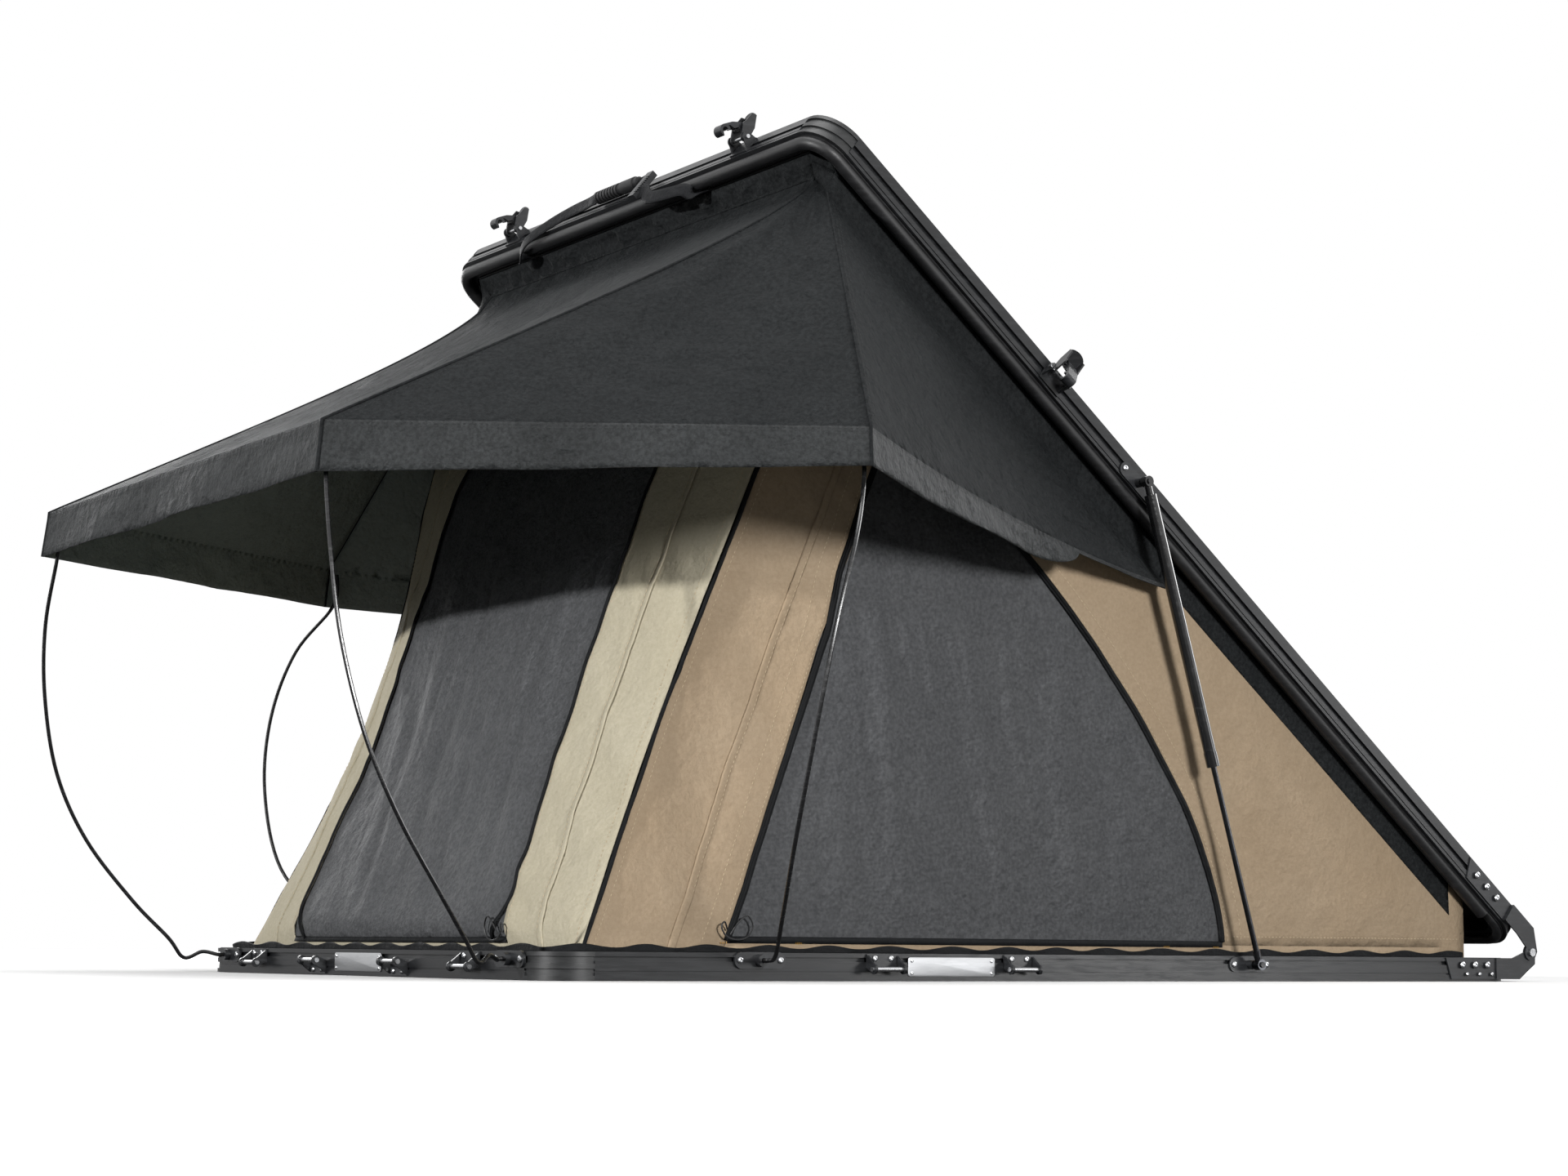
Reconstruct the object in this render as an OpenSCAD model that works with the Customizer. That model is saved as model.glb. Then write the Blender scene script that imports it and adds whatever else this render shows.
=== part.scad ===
// Rear-hinged hard-shell roof top tent, modelled open.
// Origin at the centre of the base's underside, +Z up, canopy end towards -Y, hinge towards +Y.

/* [Shell] */
// Length of the shell, canopy end to hinge end
shell_l = 2100; // [1900:10:2400]
// Width of the shell
shell_w = 1316; // [1200:2:1500]
// Height of the base frame
base_h = 44; // [42:1:56]
// Height of the lid frame
lid_h = 42; // [40:1:56]
// Gap between base and lid when shut, filled by the seal
seal_gap = 12; // [11:0.5:16]
// Depth of the frame rails, outside to inside
rail_d = 38; // [36:1:46]
// Wall of the hollow rails
rail_wall = 2.6; // [2:0.1:3.5]
// Depth of the accessory groove in the rails
groove_d = 6; // [4:0.5:8]
// Outside radius of the base corners
base_corner_r = 79; // [70:1:110]
// Outside radius of the lid corners
lid_corner_r = 70; // [65:1:100]
// Wall of the corner castings
casting_wall = 8; // [6:0.5:10]
// Thickness of the floor panel
floor_t = 10; // [8:1:12]
// Thickness of the roof panel
roof_t = 8; // [6:1:12]
// Thickness of the mattress
mattress_t = 44; // [30:1:50]

/* [Mounting rails] */
// Distance between the two underside mounting rails, centre to centre
mount_gap = 840; // [600:10:900]
// Height of a mounting rail
mount_h = 22; // [20:1:26]
// Width of a mounting rail
mount_w = 42; // [38:1:60]
// Width of the bolt slot
mount_slot = 10.5; // [8:0.5:13]

/* [Lid hinge] */
// Opening angle of the lid
lid_angle = 39.45; // [35:0.05:45]
// Distance of the hinge pivot behind the rear face
pivot_back = 24; // [20:1:30]
// Height of the hinge pivot above the base
pivot_up = 10.5; // [8:0.5:12]
// Thickness of the hinge plates
hinge_t = 3; // [2.5:0.5:4]
// Diameter of the hinge bolts
hinge_pin_d = 8; // [6:0.5:10]
// Radius of the hinge ears round the bolt
hinge_ear_r = 15; // [12:1:18]
// Length of a hinge plate along the frame
hinge_plate_l = 182; // [150:1:220]

/* [Gas struts] */
// Distance of the lower strut stud behind the middle of the base
strut_low_y = 365; // [300:5:450]
// Height of the lower strut stud
strut_low_z = 29; // [24:1:32]
// Distance of the upper strut stud in front of the middle of the lid
strut_up_y = 184; // [150:1:220]
// Height of the upper strut stud above the lid frame's lower edge
strut_up_z = 15; // [12:1:24]
// Distance of the struts from the side of the shell
strut_out = 27; // [25:1:30]
// Outside diameter of the strut tube
strut_tube_d = 22; // [18:1:24]
// Diameter of the piston rod
strut_rod_d = 10; // [8:1:12]
// Length of the strut tube
strut_tube_l = 490; // [460:5:500]
// Diameter of the strut studs
strut_stud_d = 10; // [8:0.5:12]

/* [Fittings] */
// Length of the round-ended fitting plates
fitting_l = 96; // [80:1:110]
// Height of the round-ended fitting plates
fitting_h = 26; // [22:1:28]
// Thickness of the fitting plates
fitting_t = 3; // [2.5:0.5:4]
// Distance of the front rod sockets in from the shell's sides
socket_side = 122; // [118:2:178]
// Distance of the side rod sockets behind the front face
socket_back = 378; // [300:2:420]
// Length of a pin bracket
bracket_l = 62; // [54:1:70]
// Height of a pin bracket's plate
bracket_h = 22; // [20:1:24]
// Distance of a bracket pin from the frame
bracket_pin_out = 20; // [17:1:24]
// Diameter of the bracket pins
bracket_pin_d = 8; // [6:0.5:9]
// Height of the latch keeper pins above the base's lower edge
keeper_pin_z = 19; // [16:1:22]
// Distance of the front ladder brackets from the middle
ladder_x = 155; // [140:1:180]
// Distance of the side ladder brackets behind the front face
ladder_back = 896; // [860:1:940]

/* [Latches] */
// Distance of the front latches in from the shell's sides
latch_side = 253; // [228:1:318]
// Distance of the side latches behind the front face
latch_back = 616; // [580:1:660]
// Width of a latch base
latch_w = 52; // [48:1:58]
// Distance of the lever pivot from the lid frame
latch_pivot_out = 16; // [14:1:20]
// Height of the lever pivot above the lid frame's lower edge
latch_pivot_up = 26; // [22:0.5:30]
// Distance between lever pivot and hook pivot
latch_arm = 22; // [20:0.5:24]
// Diameter of the latch pins
latch_pin_d = 7; // [6:0.5:8]
// Turn of a lever from open to shut
latch_turn = 145; // [140:1:150]
// Slope of an open lever above level
latch_open_angle = 60; // [55:1:65]

/* [Canvas] */
// Thickness of the cloth solids
cloth_t = 3; // [2:0.5:4]
// Half width of the front window
front_window_half = 405; // [340:5:440]
// How much narrower the front window is on each side at its head
front_window_taper = 70; // [0:5:100]
// Distance of the front window's head below the canvas head
front_window_drop = 194; // [150:2:260]
// Width of the canvas strip between the front edge and the side window
side_strip = 258; // [200:2:300]
// Distance of the side window's rear foot behind the middle
side_window_rear = 336; // [250:2:400]
// Height of the side window's head
side_window_top = 900; // [800:10:960]
// Run of the side window's curved edge from foot to head
side_window_sweep = 636; // [500:2:660]
// Height of the elastic skirt
skirt_h = 11; // [8:0.5:11]

/* [Canopy] */
// Reach of the canopy in front of the shell
canopy_reach = 358; // [300:2:420]
// Height of the canopy's front hem fold
canopy_front_z = 832; // [780:2:880]
// Distance of the canopy's front corners in from the shell's sides
canopy_inset = 83; // [58:1:118]
// Reach of the canopy's side points beyond the shell's sides
wing_out = 302; // [202:5:342]
// Distance of the side points behind the front face
wing_back = 375; // [320:5:420]
// Height of the side points
wing_z = 843; // [780:1:880]
// Drop of the valance
valance_h = 80; // [60:2:100]
// Drop of the valance at the side points
wing_valance_h = 62; // [50:2:90]
// Height of the band between the track and the canopy's side seam
band_h = 51; // [30:1:60]
// Sag of the canopy panels
canopy_sag = 26; // [0:1:40]
// Diameter of the awning rods
rod_d = 7; // [5:0.5:7]

/* [Pull handle] */
// Length of the ribbed grip
grip_l = 150; // [120:2:180]
// Diameter of the ribbed grip
grip_d = 24; // [20:1:26]
// Number of ribs on the grip
grip_ribs = 8; // [4:1:10]
// Length of the toothed handle
handle_l = 66; // [50:1:72]
// Width of the webbing
strap_w = 25; // [20:1:30]

/* [Hidden] */

$fn = 48;
half_l = shell_l / 2;
half_w = shell_w / 2;
lid_z = base_h + seal_gap;
top_z = lid_z + lid_h;
pivot_y = half_l + pivot_back;
pivot_z = base_h + pivot_up;
inner_x = half_w - rail_d;
inner_y = half_l - rail_d;
floor_z = mount_h;
floor_top = floor_z + floor_t;
flange_t = 4;
seat_gap = 0.3;
fit_gap = 0.15;
turn_gap = 0.3;
side_fit_y = -half_l + latch_back;
side_ladder_y = -half_l + ladder_back;
side_socket_y = -half_l + socket_back;
socket_x = half_w - socket_side;
latch_x = half_w - latch_side;
canopy_half = half_w - canopy_inset;
wing_half = half_w + wing_out;

// Grooves in the rails' outer faces, each from and to a height, with a depth
base_grooves = [[base_h - 14, base_h - 7, groove_d], [12, 15, 2.5]];
lid_grooves = [[15, 24, groove_d], [5, 7, 1.5]];
base_channels = [[7, 18, 3], [base_h - 18, base_h - 7, 3]];
lid_channels = [[6, 16, 3], [lid_h - 17, lid_h - 7, 3]];

// Place of a point of the shut lid once the lid is open
function opened(p) =
    let (dy = p[1] - pivot_y, dz = p[2] - pivot_z)
    [p[0], pivot_y + dy * cos(lid_angle) + dz * sin(lid_angle),
        pivot_z - dy * sin(lid_angle) + dz * cos(lid_angle)];

function unit(v) = v / norm(v);
function lerp(a, b, t) = a + (b - a) * t;
function flip(p, side) = [p[0] * side, p[1], p[2]];

module open_lid() {
    translate([0, pivot_y, pivot_z])
        rotate([-lid_angle, 0, 0])
            translate([0, -pivot_y, -pivot_z])
                children();
}

// Local frames of a fitting: X out of the shell, Y along its edge, Z up
module on_right(y) { translate([half_w, y, 0]) children(); }
module on_left(y) { mirror([1, 0, 0]) on_right(y) children(); }
module on_sides(y) {
    on_right(y) children();
    on_left(y) children();
}
module on_front(x) { translate([x, -half_l, 0]) rotate([0, 0, -90]) children(); }

// An outline drawn in the fitting's Y and Z, as thick as t along X
module plate_out(t) { rotate([90, 0, 90]) linear_extrude(t) children(); }
// An outline drawn in the fitting's X and Z, as wide as w along Y
module plate_across(w) { translate([0, w / 2, 0]) rotate([90, 0, 0]) linear_extrude(w) children(); }
module pin_across(d, l) { rotate([90, 0, 0]) cylinder(d = d, h = l, center = true); }
module pin_out(d, from, to) { translate([from, 0, 0]) rotate([0, 90, 0]) cylinder(d = d, h = to - from); }

// Frames of base and lid
module rail_section(h, grooves) {
    difference() {
        square([rail_d, h]);
        for (g = grooves)
            translate([-1, g[0]]) square([g[2] + 1, g[1] - g[0]]);
        translate([groove_d + rail_wall, rail_wall])
            square([rail_d - groove_d - 2 * rail_wall, h - 2 * rail_wall]);
    }
}

module casting_section(h, channels) {
    difference() {
        square([rail_d, h]);
        for (c = channels)
            translate([-1, c[0]]) square([c[2] + 1, c[1] - c[0]]);
        translate([casting_wall, flange_t]) square([rail_d, h - 2 * flange_t]);
    }
}

module left_rail(r, h, grooves) {
    translate([-half_w, half_l - r, 0])
        rotate([90, 0, 0])
            linear_extrude(shell_l - 2 * r) rail_section(h, grooves);
}

module front_rail(r, h, grooves) {
    translate([-half_w + r, -half_l, 0])
        rotate([0, 0, 90])
            rotate([90, 0, 0])
                linear_extrude(shell_w - 2 * r) rail_section(h, grooves);
}

module four_corners(r) {
    for (sx = [0, 1], sy = [0, 1])
        mirror([sx, 0, 0])
            mirror([0, sy, 0])
                translate([half_w - r, half_l - r, 0]) children();
}

module corner_castings(r, h, channels) {
    four_corners(r)
        rotate_extrude(angle = 90)
            translate([r, 0]) mirror([1, 0]) casting_section(h, channels);
}

module base_front_rail() { color("#1d1e20") front_rail(base_corner_r, base_h, base_grooves); }
module base_rear_rail() { color("#1d1e20") mirror([0, 1, 0]) front_rail(base_corner_r, base_h,
    base_grooves); }
module base_left_rail() { color("#1d1e20") left_rail(base_corner_r, base_h, base_grooves); }
module base_right_rail() { color("#1d1e20") mirror([1, 0, 0]) left_rail(base_corner_r, base_h,
    base_grooves); }
module base_corner_castings() { color("#232427") corner_castings(base_corner_r, base_h, base_channels); }

module floor_panel() {
    color("#b9babb")
        translate([-inner_x, -inner_y, floor_z]) cube([2 * inner_x, 2 * inner_y, floor_t]);
}

module mounting_rail() {
    lip_t = 5;
    difference() {
        translate([-mount_w / 2, -inner_y + 20, 0]) cube([mount_w, 2 * inner_y - 40, mount_h]);
        translate([-mount_slot / 2, -half_l, -1]) cube([mount_slot, shell_l, mount_h / 2]);
        translate([-mount_w / 2 + lip_t, -half_l, lip_t]) cube([mount_w - 2 * lip_t, shell_l,
            mount_h - 2 * lip_t]);
    }
}
module mounting_rail_left() { color("#8d9093") translate([-mount_gap / 2, 0, 0]) mounting_rail(); }
module mounting_rail_right() { color("#8d9093") translate([mount_gap / 2, 0, 0]) mounting_rail(); }

// Rear hinges: plates on the frames, with ears bent outwards to the bolt
base_ear_out = hinge_t + 0.3;
lid_ear_out = base_ear_out + hinge_t + 0.5;
hinge_bend = half_l - 66;
hinge_bend_w = 14;
hinge_front = half_l - hinge_plate_l;

module ear_hole(from) { translate([0, pivot_y, pivot_z]) pin_out(hinge_pin_d + 2 * turn_gap, from - 1,
    from + hinge_t + 1); }

module base_hinge_plate() {
    top = base_h - 0.5;
    translate([half_w, 0, 0]) {
        plate_out(hinge_t)
            polygon([[hinge_front - 14, top], [hinge_front, 4], [hinge_bend + hinge_bend_w, 4],
                [hinge_bend + hinge_bend_w, top]]);
        translate([0, hinge_bend, 4]) cube([base_ear_out + hinge_t, hinge_bend_w, top - 4]);
        difference() {
            translate([base_ear_out, 0, 0]) plate_out(hinge_t) {
                polygon([
                    [hinge_bend, 4], [half_l - 4, 4], [pivot_y + hinge_ear_r, pivot_z - 22],
                    [pivot_y + hinge_ear_r, pivot_z], [pivot_y - hinge_ear_r, pivot_z], [half_l - 22,
                        top], [hinge_bend, top]
                ]);
                translate([pivot_y, pivot_z]) circle(r = hinge_ear_r);
            }
            ear_hole(base_ear_out);
        }
    }
}
module base_hinge_plates() {
    color("#2a2b2e") for (s = [0, 1]) mirror([s, 0, 0]) base_hinge_plate();
}

module lid_hinge_plate() {
    low = lid_z + 3;
    high = top_z - 2;
    translate([half_w, 0, 0]) {
        plate_out(hinge_t)
            polygon([[hinge_front - 22, high], [hinge_front - 6, low], [hinge_bend + hinge_bend_w, low],
                [hinge_bend + hinge_bend_w, high]]);
        translate([0, hinge_bend, low]) cube([lid_ear_out + hinge_t, hinge_bend_w, high - low]);
        difference() {
            translate([lid_ear_out, 0, 0]) plate_out(hinge_t) {
                polygon([
                    [hinge_bend, low], [half_l - 26, low], [pivot_y - hinge_ear_r, pivot_z],
                    [pivot_y + hinge_ear_r, pivot_z], [pivot_y + hinge_ear_r - 2, pivot_z + 12],
                        [half_l + 2, high], [hinge_bend, high]
                ]);
                translate([pivot_y, pivot_z]) circle(r = hinge_ear_r);
            }
            ear_hole(lid_ear_out);
        }
    }
}
module lid_hinge_plates() {
    color("#2a2b2e") open_lid() for (s = [0, 1]) mirror([s, 0, 0]) lid_hinge_plate();
}

module hinge_bolts() {
    head_t = 5;
    outer = lid_ear_out + hinge_t + turn_gap;
    color("#c3c5c8")
        for (s = [0, 1]) mirror([s, 0, 0])
            translate([half_w, pivot_y, pivot_z]) {
                pin_out(hinge_pin_d, base_ear_out - 3, outer);
                pin_out(hinge_pin_d + 7, outer, outer + head_t);
                pin_out(hinge_pin_d + 5, base_ear_out - 5, base_ear_out - turn_gap);
            }
}

// Round-ended plates that carry rod ends and struts
module fitting_outline() {
    square([fitting_l - fitting_h, fitting_h], center = true);
    for (s = [-1, 1]) translate([s * (fitting_l - fitting_h) / 2, 0]) circle(d = fitting_h);
}

strut_eye_w = 14;
strut_boss_d = strut_stud_d + 6;
strut_boss_out = strut_out - strut_tube_d / 2 - 1.2;
module strut_bracket() {
    plate_out(fitting_t) fitting_outline();
    pin_out(strut_boss_d, fitting_t, strut_boss_out);
}
module base_strut_brackets() {
    color("#2a2b2e")
        on_sides(strut_low_y)
            translate([0, 0, strut_low_z]) {
                strut_bracket();
                pin_out(strut_stud_d, fitting_t, strut_out + strut_eye_w / 2 + 3);
            }
}
module lid_strut_brackets() {
    color("#2a2b2e") open_lid() on_sides(-strut_up_y) translate([0, 0, lid_z + strut_up_z]) strut_bracket();
}

socket_boss_d = 20;
socket_out = 14;
socket_z = base_h - fitting_h / 2 + 1;
module rod_socket() {
    difference() {
        union() {
            plate_out(fitting_t + 1) fitting_outline();
            pin_out(socket_boss_d, fitting_t, socket_out);
        }
        pin_out(rod_d + 1, fitting_t, socket_out + 1);
    }
}
module rod_sockets() {
    color("#2a2b2e") {
        on_sides(side_socket_y) translate([0, 0, socket_z]) rod_socket();
        for (s = [-1, 1]) on_front(s * socket_x) translate([0, 0, socket_z]) rod_socket();
    }
}

// Pin brackets: latch keepers and ladder brackets
bracket_ear_r = bracket_pin_d / 2 + 4;
bracket_ear_t = 4;
module pin_bracket(plate_low, pin_z) {
    plate_out(fitting_t) translate([-bracket_l / 2, plate_low]) square([bracket_l, bracket_h]);
    for (s = [-1, 1])
        translate([0, s * (bracket_l - bracket_ear_t) / 2, 0])
            difference() {
                plate_across(bracket_ear_t) {
                    polygon([[0, plate_low], [bracket_pin_out, pin_z - bracket_ear_r], [bracket_pin_out,
                        pin_z + bracket_ear_r], [0, plate_low + bracket_h]]);
                    translate([bracket_pin_out, pin_z]) circle(r = bracket_ear_r);
                }
                translate([bracket_pin_out, 0, pin_z]) pin_across(bracket_pin_d + 2 * fit_gap,
                    bracket_ear_t + 2);
            }
}

keeper_plate_z = base_h - bracket_h - 1;
ladder_plate_z = 2;
ladder_pin_z = base_h - keeper_pin_z;
module latch_keepers() {
    color("#2a2b2e") {
        for (s = [-1, 1]) on_front(s * latch_x) pin_bracket(keeper_plate_z, keeper_pin_z);
        on_sides(side_fit_y) pin_bracket(keeper_plate_z, keeper_pin_z);
    }
}
module ladder_brackets() {
    color("#2a2b2e") {
        for (s = [-1, 1]) on_front(s * ladder_x) pin_bracket(ladder_plate_z, ladder_pin_z);
        on_sides(side_ladder_y) pin_bracket(keeper_plate_z, keeper_pin_z);
    }
}

module bracket_pin(z) { translate([bracket_pin_out, 0, z]) pin_across(bracket_pin_d, bracket_l + 6); }
module bracket_pins() {
    color("#c9cbce") {
        for (s = [-1, 1]) {
            on_front(s * latch_x) bracket_pin(keeper_pin_z);
            on_front(s * ladder_x) bracket_pin(ladder_pin_z);
        }
        on_sides(side_fit_y) bracket_pin(keeper_pin_z);
        on_sides(side_ladder_y) bracket_pin(keeper_pin_z);
    }
}

// Mattress and skirt in the tray
mattress_side_gap = 56;
mattress_end_gap = 82;
module mattress() {
    corner = 60;
    x = inner_x - mattress_side_gap;
    y = inner_y - mattress_end_gap;
    color("#8f8a80")
        translate([0, 0, floor_top])
            linear_extrude(mattress_t) {
                square([2 * x, 2 * (y - corner)], center = true);
                square([2 * (x - corner), 2 * y], center = true);
                for (sx = [-1, 1], sy = [-1, 1]) translate([sx * (x - corner),
                    sy * (y - corner)]) circle(r = corner);
            }
}

// Wavy elastic strip along the inner edge of the base frame
skirt_wave = 120;
skirt_inset = rail_d - 8;
function wavy_top(from, to) = [for (s = [from : skirt_wave / 6 : to]) [s,
    skirt_h * (0.78 + 0.22 * sin(360 * s / skirt_wave))]];
module skirt_strip(from, to) {
    plate_out(cloth_t) polygon(concat([[from, 0]], wavy_top(from, to), [[to, 0]]));
}
module wall_skirt() {
    end_y = half_l - base_corner_r;
    end_x = half_w - base_corner_r;
    color("#151516") {
        for (s = [0, 1]) mirror([s, 0, 0]) translate([half_w - skirt_inset, 0,
            base_h]) skirt_strip(-end_y, end_y);
        translate([0, -half_l + skirt_inset, base_h]) rotate([0, 0, -90]) skirt_strip(-end_x, end_x);
    }
}

// Canvas walls, drawn in the plane of each wall
wall_x = inner_x - seat_gap - cloth_t;
wall_low = floor_top + seat_gap;
front_foot = -inner_y + 36;
wall_top_inset = 62;
hem_drop = 24;
side_rear = half_l - 105;
front_head = opened([0, -inner_y + wall_top_inset, lid_z - hem_drop]);
front_lean = atan2(front_head[1] - front_foot, front_head[2] - wall_low);
front_slope_l = norm([front_head[1] - front_foot, front_head[2] - wall_low]);

// Height of the canvas head under the open lid at a distance y from the middle
function head_z(y) = front_head[2] - (y - front_head[1]) * tan(lid_angle);

module in_front_plane() {
    translate([0, front_foot, wall_low]) rotate([-front_lean, 0, 0]) rotate([90, 0, 0]) children();
}

window_foot = 30;
module front_window(margin) {
    foot_half = front_window_half + margin;
    head_half = front_window_half - front_window_taper + margin;
    head = front_slope_l - front_window_drop + margin;
    polygon([
        [-foot_half, window_foot - margin], [foot_half, window_foot - margin],
        [head_half, head], [-head_half, head]
    ]);
}
module front_wall() {
    color("#b3a68b")
        in_front_plane()
            linear_extrude(cloth_t)
                difference() {
                    translate([-wall_x, 0]) square([2 * wall_x, front_slope_l]);
                    front_window(0);
                }
}
module front_mesh() {
    color("#3a3b3c") in_front_plane() translate([0, 0, -cloth_t]) linear_extrude(cloth_t) front_window(14);
}

// Side window: straight front edge along the wall, rear edge a falling arc under the lid
function front_edge_y(z) = front_foot + (z - wall_low) * tan(front_lean);
window_low = wall_low + window_foot;
window_curve = 1.57;
function window_rear_y(t) = side_window_rear - side_window_sweep * pow(t, window_curve);
module side_window(margin) {
    steps = 10;
    polygon(concat(
        [[front_edge_y(window_low) + side_strip - margin, window_low - margin],
            [side_window_rear + margin, window_low - margin]],
        [for (i = [0 : steps]) [window_rear_y(i / steps) + margin, lerp(window_low, side_window_top,
            i / steps)]],
        [[window_rear_y(1) + margin, side_window_top + margin],
            [front_edge_y(side_window_top) + side_strip - margin, side_window_top + margin]]
    ));
}
module side_wall_outline() {
    lean_gap = (cloth_t + seat_gap) / cos(front_lean);
    polygon([
        [front_foot + lean_gap, wall_low], [side_rear, wall_low], [side_rear, head_z(side_rear)],
        [front_head[1] + lean_gap, head_z(front_head[1] + lean_gap)]
    ]);
}
module side_wall() {
    translate([wall_x, 0, 0])
        plate_out(cloth_t)
            difference() {
                side_wall_outline();
                side_window(0);
            }
}
module side_mesh() { translate([wall_x - cloth_t, 0, 0]) plate_out(cloth_t) side_window(14); }
module right_wall() { color("#a8947a") side_wall(); }
module left_wall() { color("#a8947a") mirror([1, 0, 0]) side_wall(); }
module right_mesh() { color("#3a3b3c") side_mesh(); }
module left_mesh() { color("#3a3b3c") mirror([1, 0, 0]) side_mesh(); }
module rear_wall() {
    x = wall_x - seat_gap;
    color("#a8947a")
        translate([-x, side_rear - cloth_t, wall_low]) cube([2 * x, cloth_t, head_z(side_rear) - wall_low]);
}

// Lid frame, drawn shut and then opened
module lid_front_rail() { color("#1d1e20") open_lid() translate([0, 0, lid_z]) front_rail(lid_corner_r,
    lid_h, lid_grooves); }
module lid_rear_rail() {
    color("#1d1e20") open_lid() translate([0, 0, lid_z]) mirror([0, 1, 0]) front_rail(lid_corner_r,
        lid_h, lid_grooves);
}
module lid_left_rail() { color("#1d1e20") open_lid() translate([0, 0, lid_z]) left_rail(lid_corner_r,
    lid_h, lid_grooves); }
module lid_right_rail() {
    color("#1d1e20") open_lid() translate([0, 0, lid_z]) mirror([1, 0, 0]) left_rail(lid_corner_r, lid_h,
        lid_grooves);
}
module lid_corner_castings() {
    color("#232427") open_lid() translate([0, 0, lid_z]) corner_castings(lid_corner_r, lid_h, lid_channels);
}

module roof_panel() {
    color("#1a1b1c")
        open_lid()
            translate([-inner_x, -inner_y, top_z - flange_t - roof_t]) cube([2 * inner_x, 2 * inner_y,
                roof_t]);
}

// Bulb seal under the lid frame
seal_in = 8;
seal_w = 18;
seal_h = seal_gap - 0.5;
module seal_section() {
    translate([seal_in, -2.5]) square([seal_w, 2.5]);
    translate([seal_in + seal_w / 2, -seal_h / 2]) scale([seal_w / seal_h, 1]) circle(d = seal_h);
}
module seal_bar(l) { rotate([90, 0, 0]) linear_extrude(l, center = true) seal_section(); }
module lid_seal() {
    color("#161617")
        open_lid()
            translate([0, 0, lid_z]) {
                for (s = [0, 1]) {
                    mirror([s, 0, 0]) translate([-half_w, 0, 0]) seal_bar(shell_l - 2 * lid_corner_r);
                    mirror([0, s, 0]) translate([0, -half_l, 0]) rotate([0, 0,
                        90]) seal_bar(shell_w - 2 * lid_corner_r);
                }
                four_corners(lid_corner_r)
                    rotate_extrude(angle = 90) translate([lid_corner_r, 0]) mirror([1, 0]) seal_section();
            }
}

// Track inside the lid that holds the canopy's head
track_t = 6;
track_h = 14;
track_low = lid_z - 5;
track_rear = 60;
module canopy_track() {
    color("#202123")
        open_lid()
            translate([0, 0, track_low]) {
                translate([-half_w + lid_corner_r, -inner_y, 0]) cube([shell_w - 2 * lid_corner_r,
                    track_t, track_h]);
                for (s = [0, 1]) mirror([s, 0, 0])
                    translate([inner_x - track_t, -inner_y + 60, 0]) cube([track_t,
                        inner_y - 60 + track_rear, track_h]);
            }
}

// Gas struts, drawn along Z from the lower stud and then leaned to the upper stud
strut_foot = [strut_low_y, strut_low_z];
strut_head_open = opened([0, -strut_up_y, lid_z + strut_up_z]);
strut_run = [strut_head_open[1] - strut_foot[0], strut_head_open[2] - strut_foot[1]];
strut_l = norm(strut_run);
strut_lean = atan2(-strut_run[0], strut_run[1]);
strut_eye_d = strut_stud_d + 9;
strut_tube_low = strut_l - strut_tube_l - 24;
piston_z = strut_tube_low + 36;

module strut_frame() {
    translate([half_w + strut_out, strut_foot[0], strut_foot[1]]) rotate([strut_lean, 0, 0]) children();
}
module strut_eye(neck_d, neck_l) {
    difference() {
        union() {
            pin_out(strut_eye_d, -strut_eye_w / 2, strut_eye_w / 2);
            cylinder(d = neck_d, h = neck_l);
        }
        pin_out(strut_stud_d + 2 * turn_gap, -strut_eye_w, strut_eye_w);
    }
}
module strut_rod() {
    strut_frame() {
        strut_eye(strut_rod_d + 3, 26);
        translate([0, 0, 25]) cylinder(d = strut_rod_d, h = piston_z - 25);
        translate([0, 0, piston_z]) cylinder(d = strut_tube_d - 5, h = 12);
    }
}
module strut_tube() {
    collar_h = 26;
    strut_frame() {
        difference() {
            union() {
                translate([0, 0, strut_tube_low]) cylinder(d = strut_tube_d, h = strut_tube_l);
                translate([0, 0, strut_tube_low]) cylinder(d = strut_tube_d + 1.6, h = collar_h);
            }
            translate([0, 0, strut_tube_low - 1]) cylinder(d = strut_rod_d + 1, h = strut_tube_l / 2);
            translate([0, 0, strut_tube_low + collar_h]) cylinder(d = strut_tube_d - 4,
                h = strut_tube_l - collar_h - 10);
        }
        translate([0, 0, strut_l]) {
            rotate([180, 0, 0]) {
                pin_out(strut_eye_d, -strut_eye_w / 2, strut_eye_w / 2);
                cylinder(d = strut_rod_d + 3, h = 30);
            }
            pin_out(strut_stud_d, strut_boss_out + turn_gap - strut_out, strut_eye_w / 2 + 3);
        }
    }
}
module strut_rod_right() { color("#3b3d40") strut_rod(); }
module strut_rod_left() { color("#3b3d40") mirror([1, 0, 0]) strut_rod(); }
module strut_tube_right() { color("#141416") strut_tube(); }
module strut_tube_left() { color("#141416") mirror([1, 0, 0]) strut_tube(); }

// Toggle latches: X out of the lid, Y along its edge, Z up, with the lid shut
latch_pivot_z = lid_z + latch_pivot_up;
latch_cheek_t = 3;
lever_half = latch_w / 2 - 8;
hook_half = lever_half - latch_cheek_t - 4;
hook_grip_r = bracket_pin_d / 2 + 1.6;
hook_claw = 5;
hook_back = hook_grip_r + hook_claw + 1;
lever_dir = [cos(latch_open_angle), sin(latch_open_angle)];
hook_pivot = [latch_pivot_out, latch_pivot_z] + latch_arm * lever_dir;
hook_shut_pivot = [latch_pivot_out, latch_pivot_z]
    + latch_arm * [cos(latch_open_angle - latch_turn), sin(latch_open_angle - latch_turn)];
hook_reach = norm([bracket_pin_out, keeper_pin_z] - hook_shut_pivot);
hook_shut_angle = atan2(keeper_pin_z - hook_shut_pivot[1], bracket_pin_out - hook_shut_pivot[0]);
hook_turn = 30;
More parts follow.
